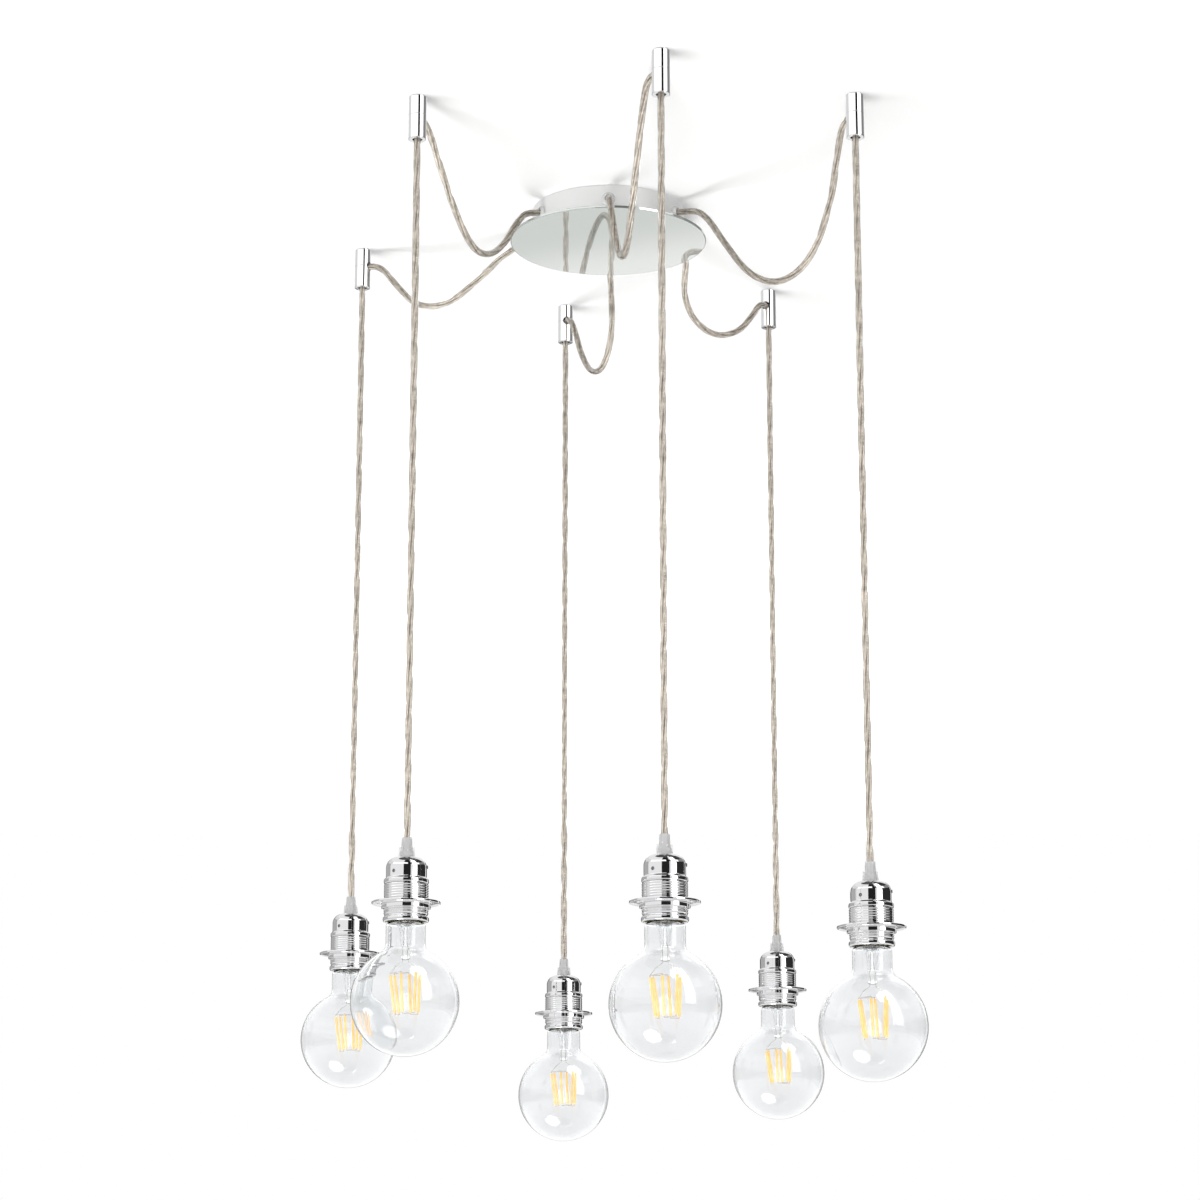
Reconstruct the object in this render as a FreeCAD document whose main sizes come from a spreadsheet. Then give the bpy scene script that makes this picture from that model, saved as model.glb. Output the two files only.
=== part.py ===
"""Cluster pendant: a ceiling rose with six swagged cords, each hung from its own ceiling retainer.

Millimetres, +Z up. The origin is the middle of the rose's ceiling face, so the whole lamp hangs
below z = 0. Drops are numbered anticlockwise from the left front one. Each lamp's pieces are
modelled once, with the top of its cap at z = 0, and placed six times.
"""

import FreeCAD, Part
import math
import os

import Sketcher

from FreeCAD import Placement, Rotation, Vector

doc = FreeCAD.newDocument("cluster_pendant")
sheet = doc.addObject("Spreadsheet::Sheet", "sizes")

DROPS = 6
TINY = 1e-6
AXIS_OF = {"DistanceX": -2, "DistanceY": -1}
nodes = []

SIZES = [
    # cord and fits
    ("cord_radius", 3.25, "clear sheath over three twisted cores"),
    ("cord_gap", 0.15, "round the cord in its grips"),
    ("fit_gap", 0.3, "round pieces that turn or slip over each other"),
    # ceiling rose
    ("rose_radius", 77.5, "drum, outside"),
    ("rose_height", 30, "drum"),
    ("rose_wall", 1.5, "drum and back plate"),
    ("rose_round", 1.2, "rounded top edge of the drum"),
    ("hole_height", 15, "cord holes, below the ceiling"),
    ("hole_radius", 5, "cord holes in the drum's wall"),
    ("first_hole_angle", -150, "cord hole of drop 1, from +X"),
    ("screw_spacing", 100, "between the two ceiling screws"),
    ("screw_radius", 2.5, "ceiling screw holes in the rose"),
    ("entry_radius", 10, "mains cable entry in the back plate"),
    ("disc_radius", 100, "mirror disc"),
    ("disc_thickness", 3, "mirror disc"),
    ("disc_round", 0.8, "edge of the mirror disc"),
    ("spigot_height", 7, "ring that plugs the disc into the drum"),
    ("spigot_wall", 2, "ring that plugs the disc into the drum"),
    ("gland_radius", 6.5, "bush flange"),
    ("gland_nose_radius", 4.7, "tip of the bush"),
    ("gland_length", 4, "bush outside the wall"),
    ("gland_flange", 2, "bush flange, thickness"),
    ("gland_lip_radius", 6, "bush inside the wall"),
    ("block_length", 46, "terminal block"),
    ("block_width", 18, "terminal block"),
    ("block_height", 13, "terminal block"),
    ("block_offset", 34, "terminal block, from the middle of the rose"),
    ("block_pitch", 14, "between the ways of the terminal block"),
    ("block_well_radius", 3, "screw wells of the terminal block"),
    ("block_screw_radius", 2.2, "terminal screws"),
    # ceiling retainers
    ("retainer_radius", 8.25, "retainer, outside"),
    ("retainer_height", 42, "retainer, ceiling to mouth"),
    ("retainer_seam", 18.4, "length of the retainer's base"),
    ("retainer_wall", 1.4, "retainer wall"),
    ("retainer_plate", 3, "top plate of the base"),
    ("retainer_screw_radius", 2.1, "ceiling screw hole in the base"),
    ("retainer_sleeve", 6, "sleeve of the barrel inside the base"),
    ("sleeve_wall", 1, "sleeve of the barrel inside the base"),
    ("mouth_radius", 4.4, "cord hole in the barrel's floor"),
    ("mouth_floor", 2, "floor of the barrel"),
    ("side_hole_radius", 4.5, "cord hole at the seam"),
    ("retainer_round", 0.5, "outer edges of the retainer"),
    # where each drop hangs: retainer axis, and the top of the lamp's cap below the ceiling
    ("drop_1_x", -178, "left front"),
    ("drop_1_y", -302, "left front"),
    ("drop_1_depth", 713, "left front"),
    ("drop_2_x", 46, "front"),
    ("drop_2_y", -409, "front"),
    ("drop_2_depth", 727, "front"),
    ("drop_3_x", 228, "right front"),
    ("drop_3_y", -307, "right front"),
    ("drop_3_depth", 735, "right front"),
    ("drop_4_x", 177, "right back"),
    ("drop_4_y", 247, "right back"),
    ("drop_4_depth", 729, "right back"),
    ("drop_5_x", -47, "back"),
    ("drop_5_y", 300, "back"),
    ("drop_5_depth", 748, "back"),
    ("drop_6_x", -260, "left back"),
    ("drop_6_y", 116, "left back"),
    ("drop_6_depth", 707, "left back"),
    # cord grip on the lamp
    ("grip_top_radius", 4.5, "grip, corners at the top"),
    ("grip_foot_radius", 6.4, "grip, corners at the foot"),
    ("grip_height", 17.5, "grip above the cap"),
    ("grip_spigot_radius", 4.8, "threaded end of the grip"),
    ("grip_spigot_length", 6, "threaded end of the grip"),
    ("cord_tail", 6.5, "cord inside the cap"),
    # lampholder cap
    ("cap_radius", 18, "cap, outside"),
    ("cap_height", 23.5, "cap, top to skirt"),
    ("cap_wall", 0.8, "cap"),
    ("cap_shoulder", 9.5, "rounded shoulder of the cap"),
    ("bead_radius", 19.8, "bead that the shell screws into"),
    ("bead_height", 3.5, "bead that the shell screws into"),
    ("bead_step", 1.5, "slope above the bead"),
    ("left_screw_depth", 13.6, "left locking screw, below the cap's top"),
    ("right_screw_depth", 9, "right locking screw, below the cap's top"),
    ("lock_screw_radius", 1.5, "locking screws"),
    ("lock_screw_proud", 0.9, "head of the right locking screw"),
    # threaded shell
    ("shell_top", 21, "top of the shell, below the cap's top"),
    ("shell_collar_radius", 18.7, "plain end inside the bead"),
    ("holder_length", 57, "cap's top to the rim"),
    ("shell_root_radius", 18.9, "bottom of the shell's thread"),
    ("shell_crest_radius", 19.6, "top of the shell's thread"),
    ("shell_wall", 0.9, "shell"),
    ("shell_pitch", 2.2, "shell thread"),
    ("rim_radius", 20.2, "rolled rim, outside"),
    ("rim_height", 4.5, "rolled rim"),
    ("rim_round", 1.4, "rolled rim"),
    # shade ring
    ("ring_radius", 30.3, "shade ring flange"),
    ("ring_depth", 40.5, "underside of the flange, below the cap's top"),
    ("ring_thickness", 1.4, "flange"),
    ("ring_collar_radius", 21.6, "collar"),
    ("ring_collar_height", 5, "collar under the flange"),
    ("ring_hole_radius", 1.5, "vent holes"),
    ("ring_hole_circle", 25.3, "vent holes"),
    ("ring_hole_angle", -165, "first vent hole, from +X"),
    # insert
    ("insert_radius", 16.4, "ceramic body"),
    ("insert_top", 7.5, "ceramic body, below the cap's top"),
    ("insert_floor", 27, "ceramic body, contact side"),
    ("insert_skirt_depth", 37, "ceramic skirt round the screw shell"),
    ("insert_bore", 3.5, "hole for the centre contact"),
    ("terminal_radius", 2.4, "terminal screws"),
    ("terminal_height", 1.6, "terminal screws"),
    ("terminal_circle", 9, "terminal screws"),
    ("socket_radius", 13.5, "brass screw shell, inside"),
    ("socket_wall", 0.5, "brass screw shell"),
    ("socket_depth", 55, "brass screw shell, lower edge"),
    ("contact_radius", 3, "centre contact"),
    # bulb
    ("bulb_radius", 47.5, "globe"),
    ("bulb_length", 140.5, "tip to the bottom of the globe"),
    ("bulb_tip", 33, "tip, below the cap's top"),
    ("neck_radius", 17.4, "glass neck"),
    ("neck_round", 3.6, "shoulder of the neck"),
    ("throat_round", 9, "neck into globe"),
    ("glass_wall", 0.9, "glass"),
    ("base_length", 24, "metal screw cap with its tip"),
    ("base_crest_radius", 13.15, "screw cap thread"),
    ("base_root_radius", 12.3, "screw cap thread"),
    ("base_pitch", 3.62, "screw cap thread"),
    ("base_wall", 0.5, "screw cap"),
    ("tip_radius", 4.8, "centre contact of the bulb"),
    ("tip_height", 1.3, "centre contact of the bulb"),
    ("glass_bead_radius", 6.6, "black glass insulator"),
    ("glass_bead_height", 3, "black glass insulator"),
    ("stem_radius", 4.4, "glass stem tube"),
    ("stem_wall", 0.9, "glass stem tube"),
    ("stem_flare", 11.6, "flare of the stem at the neck"),
    ("stem_flare_height", 9, "flare of the stem at the neck"),
    ("pinch_top", 50, "pinch, above the globe's centre"),
    ("pinch_foot", 36, "pinch, above the globe's centre"),
    ("pinch_width", 9, "pinch"),
    ("pinch_thickness", 3.4, "pinch"),
    ("filament_top", 25, "above the globe's centre"),
    ("filament_foot", -11, "from the globe's centre"),
    ("filament_top_circle", 13, "filaments at the top"),
    ("filament_foot_circle", 9.5, "filaments at the foot"),
    ("filament_radius", 1.1, "filament"),
    ("filament_wire", 0.45, "support wire"),
]

SHELL_RIDGES = 12
BASE_RIDGES = 4
FILAMENTS = 6
RING_HOLES = 3
GRIP_SIDES = 8
WAYS = 3

for row, (alias, value, note) in enumerate(SIZES, 1):
    sheet.set(f"A{row}", note)
    sheet.set(f"B{row}", str(value))
    sheet.setAlias(f"B{row}", alias)
doc.recompute()


class Size:
    """A number together with its formula over the sheet, so that sums of sizes stay bound."""

    def __init__(self, value, formula):
        self.value = float(value)
        self.formula = formula

    def joined(self, sign, other, value):
        return Size(value, f"({self.formula} {sign} {as_size(other).formula})")

    def __add__(self, other):
        return self.joined("+", other, self.value + as_size(other).value)

    def __sub__(self, other):
        return self.joined("-", other, self.value - as_size(other).value)

    def __mul__(self, other):
        return self.joined("*", other, self.value * as_size(other).value)

    def __truediv__(self, other):
        return self.joined("/", other, self.value / as_size(other).value)

    def __neg__(self):
        return Size(-self.value, f"(-1 * {self.formula})")


def as_size(number):
    return number if isinstance(number, Size) else Size(number, repr(float(number)))


class Sheet:
    """Sizes by name: dims.cap_radius is that cell of the sheet."""

    def __getattr__(self, alias):
        return Size(sheet.get(alias), f"sizes.{alias}")


dims = Sheet()


def bind(thing, **sizes):
    """Tie properties of an object to formulas over the sheet."""
    for name, size in sizes.items():
        thing.setExpression(name, as_size(size).formula)
    return thing


def move(thing, x=0, y=0, z=0, turn=None, about=Vector(0, 0, 1)):
    """Place an object; x, y, z and the turn in degrees may be sizes."""
    angle = as_size(turn if turn is not None else 0)
    thing.Placement = Placement(Vector(0, 0, 0), Rotation(about, angle.value))
    if isinstance(turn, Size):
        thing.setExpression("Placement.Rotation.Angle", angle.formula)
    for axis, size in (("x", x), ("y", y), ("z", z)):
        thing.setExpression(f"Placement.Base.{axis}", as_size(size).formula)
    return thing


def primitive(kind, name, **sizes):
    return bind(doc.addObject(f"Part::{kind}", name), **sizes)


def boolean(kind, name, base, tool):
    made = doc.addObject(f"Part::{kind}", name)
    made.Base = base
    made.Tool = tool
    return made


def group(name, pieces):
    made = doc.addObject("Part::Compound", name)
    made.Links = pieces
    return made


def joined(name, pieces):
    made = doc.addObject("Part::MultiFuse", name)
    made.Shapes = pieces
    return made


def turned(name, outline, rounds=()):
    """A body turned about its Z axis from an outline of (radius, height) sizes.

    rounds lists (radius, height, fillet): the turned edge at that place gets that fillet.
    """
    body = doc.addObject("PartDesign::Body", name)
    plane = next(p for p in body.Origin.OriginFeatures if p.Role == "XZ_Plane")
    sketch = body.newObject("Sketcher::SketchObject", f"{name}_outline")
    sketch.AttachmentSupport = [(plane, "")]
    sketch.MapMode = "FlatFace"
    corners = [(as_size(r), as_size(z)) for r, z in outline]
    for (r, z), (next_r, next_z) in zip(corners, corners[1:] + corners[:1]):
        start = Vector(r.value, z.value, 0)
        sketch.addGeometry(Part.LineSegment(start, Vector(next_r.value, next_z.value, 0)))
    for line in range(len(corners)):
        follower = (line + 1) % len(corners)
        sketch.addConstraint(Sketcher.Constraint("Coincident", line, 2, follower, 1))
    for line, place in enumerate(corners):
        for kind, size in zip(("DistanceX", "DistanceY"), place):
            if abs(size.value) < TINY:
                on_axis = Sketcher.Constraint("PointOnObject", line, 1, AXIS_OF[kind])
                sketch.addConstraint(on_axis)
                continue
            made = sketch.addConstraint(Sketcher.Constraint(kind, -1, 1, line, 1, size.value))
            sketch.setExpression(f"Constraints[{made}]", size.formula)
    turn = body.newObject("PartDesign::Revolution", f"{name}_turn")
    turn.Profile = sketch
    turn.ReferenceAxis = (sketch, ["V_Axis"])
    turn.Angle = 360
    body.Tip = turn
    doc.recompute()
    for count, (r, z, fillet_size) in enumerate(rounds):
        plain = body.Tip
        edges = circles_at(plain.Shape, as_size(r).value, as_size(z).value)
        fillet = body.newObject("PartDesign::Fillet", f"{name}_round_{count}")
        fillet.Base = (plain, edges)
        bind(fillet, Radius=fillet_size)
        body.Tip = fillet
        doc.recompute()
    return body


def circles_at(shape, radius, height):
    """Names of the circular edges about Z with this radius at this height."""
    found = []
    for number, edge in enumerate(shape.Edges, 1):
        if edge.Degenerated or not isinstance(edge.Curve, Part.Circle):
            continue
        circle = edge.Curve
        if abs(circle.Radius - radius) < TINY and abs(circle.Center.z - height) < TINY:
            found.append(f"Edge{number}")
    return found


def ridges(count, start, pitch, root, crest):
    """Outline of annular thread ridges, from the start height down, on (radius, height)."""
    places = []
    for number in range(count):
        top = start - pitch * number
        places += [
            (root, top),
            (crest, top - pitch * 0.3),
            (crest, top - pitch * 0.5),
            (root, top - pitch * 0.8),
        ]
    return places


def node(name, pieces, x=0, y=0, z=0, turn=None):
    """One named sub-part: its pieces, placed."""
    made = group(name, pieces)
    made.Label = name
    nodes.append(made)
    return move(made, x, y, z, turn)



def rose():
    """Steel drum on the ceiling, mirror disc under it, cord bushes and the terminal block."""
    inside = dims.rose_radius - dims.rose_wall
    drum = turned(
        "drum",
        [
            (0, 0),
            (dims.rose_radius, 0),
            (dims.rose_radius, -dims.rose_height),
            (inside, -dims.rose_height),
            (inside, -dims.rose_wall),
            (0, -dims.rose_wall),
        ],
    )
    drills = []
    for number in range(DROPS):
        reach = dims.rose_radius + dims.rose_wall
        drill = primitive("Cylinder", "cord_hole", Radius=dims.hole_radius, Height=reach)
        drill.Placement = Placement(Vector(0, 0, 0), Rotation(Vector(0, 1, 0), 90))
        spoke = move(group("cord_spoke", [drill]), z=-dims.hole_height, turn=hole_angle(number))
        drills.append(spoke)
    for side in (-1, 1):
        drill = primitive(
            "Cylinder", "ceiling_screw_hole", Radius=dims.screw_radius, Height=dims.rose_wall * 3
        )
        drills.append(move(drill, x=dims.screw_spacing * (side / 2), z=-dims.rose_wall * 2))
    entry = primitive("Cylinder", "cable_entry", Radius=dims.entry_radius, Height=dims.rose_wall * 3)
    drills.append(move(entry, z=-dims.rose_wall * 2))
    node("rose_base", [boolean("Cut", "drilled_drum", drum, group("rose_drills", drills))])

    face = -dims.rose_height
    spigot = inside - dims.fit_gap
    disc = turned(
        "disc",
        [
            (0, face),
            (spigot - dims.spigot_wall, face),
            (spigot - dims.spigot_wall, face + dims.spigot_height),
            (spigot, face + dims.spigot_height),
            (spigot, face),
            (dims.disc_radius, face),
            (dims.disc_radius, face - dims.disc_thickness),
            (0, face - dims.disc_thickness),
        ],
        [(dims.disc_radius, face - dims.disc_thickness, dims.disc_round)],
    )
    node("rose_disc", [disc])

    bore = dims.cord_radius + dims.cord_gap
    neck = dims.hole_radius - dims.fit_gap
    lip_face = -dims.rose_wall - dims.fit_gap * 1.5
    bush = turned(
        "bush",
        [
            (bore, lip_face - dims.gland_flange),
            (dims.gland_lip_radius, lip_face - dims.gland_flange),
            (dims.gland_lip_radius, lip_face),
            (neck, lip_face),
            (neck, 0),
            (dims.gland_radius, 0),
            (dims.gland_radius, dims.gland_flange),
            (dims.gland_nose_radius, dims.gland_length),
            (bore, dims.gland_length),
        ],
    )
    placed = []
    for number in range(DROPS):
        flat = doc.addObject("Part::Compound", "bush_on_side")
        flat.Links = [bush]
        flat.Placement = Placement(Vector(0, 0, 0), Rotation(Vector(0, 1, 0), 90))
        out = group("bush_out", [flat])
        move(out, x=dims.rose_radius)
        placed.append(move(group("bush_spoke", [out]), z=-dims.hole_height, turn=hole_angle(number)))
    node("rose_glands", placed)
    terminal_block()


def hole_angle(number):
    return dims.first_hole_angle + number * 360 / DROPS


def terminal_block():
    """Three-way block on the back plate, with a pair of screws in each way."""
    top = -dims.rose_wall
    block = primitive(
        "Box",
        "block",
        Length=dims.block_length,
        Width=dims.block_width,
        Height=dims.block_height,
    )
    move(block, -dims.block_length / 2, dims.block_offset - dims.block_width / 2, top - dims.block_height)
    wells = []
    screws = []
    depth = dims.block_height / 2
    for way in range(WAYS):
        for side in (-1, 1):
            x = dims.block_pitch * (way - (WAYS - 1) / 2)
            y = dims.block_offset + dims.block_width * (side / 4)
            well = primitive("Cylinder", "well", Radius=dims.block_well_radius, Height=depth)
            wells.append(move(well, x, y, top - dims.block_height))
            screw = primitive(
                "Cylinder", "terminal_screw", Radius=dims.block_screw_radius, Height=depth / 2
            )
            screws.append(move(screw, x, y, top - dims.block_height + depth / 2))
    cored = boolean("Cut", "cored_block", block, group("block_wells", wells))
    node("rose_terminal_block", [cored] + screws)


def retainers():
    """Two-part chromed cylinders on the ceiling: the cord enters at the seam, leaves by the mouth."""
    inside = dims.retainer_radius - dims.retainer_wall
    sleeve = inside - dims.fit_gap
    sleeve_inside = sleeve - dims.sleeve_wall
    seam = -dims.retainer_seam
    foot = -dims.retainer_height
    base = turned(
        "retainer_base",
        [
            (dims.retainer_screw_radius, 0),
            (dims.retainer_radius, 0),
            (dims.retainer_radius, seam),
            (inside, seam),
            (inside, -dims.retainer_plate),
            (dims.retainer_screw_radius, -dims.retainer_plate),
        ],
    )
    barrel = turned(
        "retainer_barrel",
        [
            (sleeve_inside, seam + dims.retainer_sleeve),
            (sleeve, seam + dims.retainer_sleeve),
            (sleeve, seam),
            (dims.retainer_radius, seam),
            (dims.retainer_radius, foot),
            (dims.mouth_radius, foot),
            (dims.mouth_radius, foot + dims.mouth_floor),
            (sleeve_inside, foot + dims.mouth_floor),
        ],
        [(dims.retainer_radius, foot, dims.retainer_round)],
    )
    bases = []
    barrels = []
    for number in range(DROPS):
        x, y = drop_place(number)
        ahead = ROUTES[number][-1]
        heading = math.degrees(math.atan2(ahead[1] - y.value, ahead[0] - x.value))
        for piece, placed in ((base, bases), (barrel, barrels)):
            slot = primitive(
                "Cylinder", "side_hole", Radius=dims.side_hole_radius, Height=dims.retainer_radius * 2
            )
            slot.Placement = Placement(Vector(0, 0, 0), Rotation(Vector(0, 1, 0), 90))
            slot = move(group("side_hole_at_seam", [slot]), z=seam)
            notched = boolean("Cut", "notched_" + piece.Name, piece, slot)
            placed.append(move(group("retainer_place", [notched]), x, y, 0, heading))
    node("retainer_bases", bases)
    node("retainer_barrels", barrels)


def drop_place(number):
    name = f"drop_{number + 1}"
    return getattr(dims, f"{name}_x"), getattr(dims, f"{name}_y")


def drop_depth(number):
    return getattr(dims, f"drop_{number + 1}_depth")


# The free points of each swag between its bush and its retainer, x, y, z.
ROUTES = [
    [
        (-92, -72, -38),
        (-103, -103, -72),
        (-116, -143, -99),
        (-131, -188, -108),
        (-147, -230, -83),
        (-160, -261, -48),
        (-170, -283, -20),
    ],
    [
        (3, -117, -44),
        (7, -141, -83),
        (12, -179, -116),
        (17, -226, -122),
        (22, -275, -92),
        (27, -318, -53),
        (31, -358, -29),
        (34, -392, -20),
    ],
    [
        (96, -80, -31),
        (114, -112, -74),
        (137, -154, -124),
        (165, -203, -149),
        (192, -248, -137),
        (208, -273, -88),
        (213, -281, -47),
        (218, -289, -20),
    ],
    [
        (82, 73, -27),
        (79, 101, -54),
        (91, 133, -73),
        (115, 166, -79),
        (141, 194, -65),
        (157, 214, -40),
        (167, 228, -20),
    ],
    [
        (3, 112, -38),
        (4, 108, -68),
        (4, 112, -97),
        (-5, 146, -122),
        (-18, 192, -112),
        (-29, 230, -79),
        (-36, 258, -42),
        (-42, 280, -20),
    ],
    [
        (-106, 58, -22),
        (-132, 68, -46),
        (-168, 82, -73),
        (-201, 94, -70),
        (-224, 104, -42),
        (-240, 108, -20),
    ],
]

CORD_START = 66
CORD_OUT = 93
CORD_CREST = -18
ARC_SHARE = 0.45


def cords():
    """Each cord in two free stretches: the swag up to the mouth, and the straight drop below it."""
    mouth = -dims.retainer_height
    for number in range(DROPS):
        x, y = drop_place(number)
        angle = math.radians(hole_angle(number).value)
        spoke = Vector(math.cos(angle), math.sin(angle), 0)
        level = Vector(0, 0, -dims.hole_height.value)
        crest = Vector(x.value, y.value, CORD_CREST)
        swag_end = mouth + dims.cord_radius + dims.fit_gap
        end = Vector(x.value, y.value, swag_end.value)
        points = [spoke * CORD_START + level, spoke * CORD_OUT + level]
        points += [Vector(*place) for place in ROUTES[number]]
        points += [crest, end]
        tube = doc.addObject("Part::Feature", f"swag_tube_{number + 1}")
        tube.Shape = cord_tube(points, dims.cord_radius.value, f"cord_swag_{number + 1}")
        node(f"cord_swag_{number + 1}", [tube])

        ball = move(primitive("Sphere", "cord_bend", Radius=dims.cord_radius), z=mouth)
        reach = drop_depth(number) + dims.cord_tail - dims.retainer_height
        run = primitive("Cylinder", "cord_run", Radius=dims.cord_radius, Height=reach)
        move(run, z=-drop_depth(number) - dims.cord_tail)
        node(f"cord_drop_{number + 1}", [joined("cord_hang", [ball, run])], x, y)


def cord_tube(points, radius, name):
    """A round tube along straight runs joined by arcs tangent to both."""
    runs = [b - a for a, b in zip(points, points[1:])]
    edges = []
    start = points[0]
    radii = []
    for corner, before, after in zip(points[1:-1], runs, runs[1:]):
        turn = before.getAngle(after)
        cut = ARC_SHARE * min(before.Length, after.Length)
        radii.append(cut / math.tan(turn / 2))
        into = corner - Vector(before).normalize() * cut
        out = corner + Vector(after).normalize() * cut
        to_centre = (Vector(after).normalize() - Vector(before).normalize()).normalize()
        centre = corner + to_centre * (cut / math.sin(turn / 2))
        middle = centre - to_centre * radii[-1]
        edges.append(Part.LineSegment(start, into).toShape())
        edges.append(Part.Arc(into, middle, out).toShape())
        start = out
    edges.append(Part.LineSegment(start, points[-1]).toShape())
    path = Part.Wire(edges)
    ring = Part.Wire([Part.makeCircle(radius, points[0], runs[0])])
    tube = path.makePipeShell([ring], True, False)
    expected = math.pi * radius**2 * path.Length
    longest = max(run.Length for run in runs)
    steps = ", ".join(f"{r:.0f}" for r in radii)
    print(f"{name}: length {path.Length:.0f}, longest run {longest:.0f}, radii {steps}")
    print(f"{name}: volume over section times length {tube.Volume / expected:.4f}")
    return tube


def grip():
    """Faceted translucent cord grip, with the bore for the cord and a spigot into the cap."""
    sections = []
    for height, corners in ((0, dims.grip_foot_radius), (dims.grip_height, dims.grip_top_radius)):
        polygon = doc.addObject("Part::RegularPolygon", "grip_section")
        polygon.Polygon = GRIP_SIDES
        sections.append(move(bind(polygon, Circumradius=corners), z=height))
    loft = doc.addObject("Part::Loft", "grip_loft")
    loft.Sections = sections
    loft.Solid = True
    loft.Ruled = True
    spigot = primitive(
        "Cylinder", "grip_spigot", Radius=dims.grip_spigot_radius, Height=dims.grip_spigot_length
    )
    move(spigot, z=-dims.grip_spigot_length)
    bore = primitive(
        "Cylinder",
        "grip_bore",
        Radius=dims.cord_radius + dims.cord_gap,
        Height=(dims.grip_height + dims.grip_spigot_length) * 2,
    )
    move(bore, z=-dims.grip_spigot_length * 2)
    return boolean("Cut", "bored_grip", joined("grip_solid", [loft, spigot]), bore)


def cap():
    """Domed chromed cap: a pressed shell with a bead, and its two locking screws."""
    inner = dims.cap_radius - dims.cap_wall
    entry = dims.grip_spigot_radius + dims.fit_gap
    slope_top = -(dims.cap_height - dims.bead_height - dims.bead_step)
    shell = turned(
        "cap_shell",
        [
            (entry, 0),
            (dims.cap_radius, 0),
            (dims.cap_radius, slope_top),
            (dims.bead_radius, slope_top - dims.bead_step),
            (dims.bead_radius, -dims.cap_height),
            (dims.bead_radius - dims.cap_wall, -dims.cap_height),
            (dims.bead_radius - dims.cap_wall, slope_top - dims.bead_step - dims.cap_wall / 2),
            (inner, slope_top - dims.cap_wall / 2),
            (inner, -dims.cap_wall),
            (entry, -dims.cap_wall),
        ],
        [
            (dims.cap_radius, 0, dims.cap_shoulder),
            (inner, -dims.cap_wall, dims.cap_shoulder - dims.cap_wall),
        ],
    )
    holes = []
    screws = []
    seat = dims.insert_radius + dims.cord_gap
    for angle, depth, proud in (
        (LEFT_SCREW_ANGLE, dims.left_screw_depth, 0),
        (RIGHT_SCREW_ANGLE, dims.right_screw_depth, dims.lock_screw_proud),
    ):
        hole = primitive(
            "Cylinder",
            "lock_hole",
            Radius=dims.lock_screw_radius + dims.cord_gap,
            Height=dims.cap_radius * 2,
        )
        screw = primitive(
            "Cylinder",
            "lock_screw",
            Radius=dims.lock_screw_radius,
            Height=dims.cap_radius + proud - seat,
        )
        for piece, out, placed in ((hole, 0, holes), (screw, seat, screws)):
            piece.Placement = Placement(Vector(0, 0, 0), Rotation(Vector(0, 1, 0), 90))
            reached = move(group("lock_reach", [piece]), x=out)
            turned_piece = group("lock_turn", [reached])
            placed.append(move(turned_piece, z=-depth, turn=angle))
    drilled = boolean("Cut", "drilled_cap", shell, group("lock_holes", holes))
    return [drilled] + screws


LEFT_SCREW_ANGLE = -125
RIGHT_SCREW_ANGLE = -8


def holder_shell():
    """Threaded chromed shell: plain collar inside the bead, thread, rolled rim."""
    thread_top = -dims.cap_height - dims.fit_gap
    rim_top = -dims.holder_length + dims.rim_height
    outline = [
        (dims.shell_root_radius - dims.shell_wall, -dims.shell_top),
        (dims.shell_collar_radius, -dims.shell_top),
        (dims.shell_collar_radius, thread_top),
    ]
    outline += ridges(
        SHELL_RIDGES, thread_top - dims.fit_gap, dims.shell_pitch,
        dims.shell_root_radius, dims.shell_crest_radius,
    )
    outline += [
        (dims.shell_root_radius, rim_top),
        (dims.rim_radius, rim_top - dims.fit_gap),
        (dims.rim_radius, -dims.holder_length),
        (dims.rim_radius - dims.rim_round, -dims.holder_length),
        (dims.shell_root_radius - dims.shell_wall, rim_top),
    ]
    return turned("shell", outline, [(dims.rim_radius, -dims.holder_length, dims.rim_round / 2)])


def insert():
    """Ceramic body with terminals, brass screw shell and sprung centre contact."""
    floor = -dims.insert_floor
    body = turned(
        "ceramic",
        [
            (dims.insert_bore, -dims.insert_top),
            (dims.insert_radius, -dims.insert_top),
            (dims.insert_radius, -dims.insert_skirt_depth),
            (dims.socket_radius + dims.socket_wall + dims.fit_gap, -dims.insert_skirt_depth),
            (dims.socket_radius + dims.socket_wall + dims.fit_gap, floor),
            (dims.insert_bore, floor),
        ],
    )
    inner_floor = floor - dims.socket_wall
    socket = turned(
        "screw_shell",
        [
            (dims.insert_bore * 2, floor),
            (dims.socket_radius + dims.socket_wall, floor),
            (dims.socket_radius + dims.socket_wall, -dims.socket_depth),
            (dims.socket_radius, -dims.socket_depth),
            (dims.socket_radius, inner_floor),
            (dims.insert_bore * 2, inner_floor),
        ],
    )
    tip_face = -dims.bulb_tip + dims.fit_gap
    contact = turned(
        "centre_contact",
        [
            (0, tip_face),
            (dims.contact_radius, tip_face),
            (dims.contact_radius, -dims.insert_top - dims.fit_gap),
            (0, -dims.insert_top - dims.fit_gap),
        ],
    )
    terminals = []
    for side in (-1, 1):
        screw = primitive(
            "Cylinder", "terminal", Radius=dims.terminal_radius, Height=dims.terminal_height
        )
        terminals.append(move(screw, x=dims.terminal_circle * side, z=-dims.insert_top))
    return [body, socket, contact] + terminals


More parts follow.
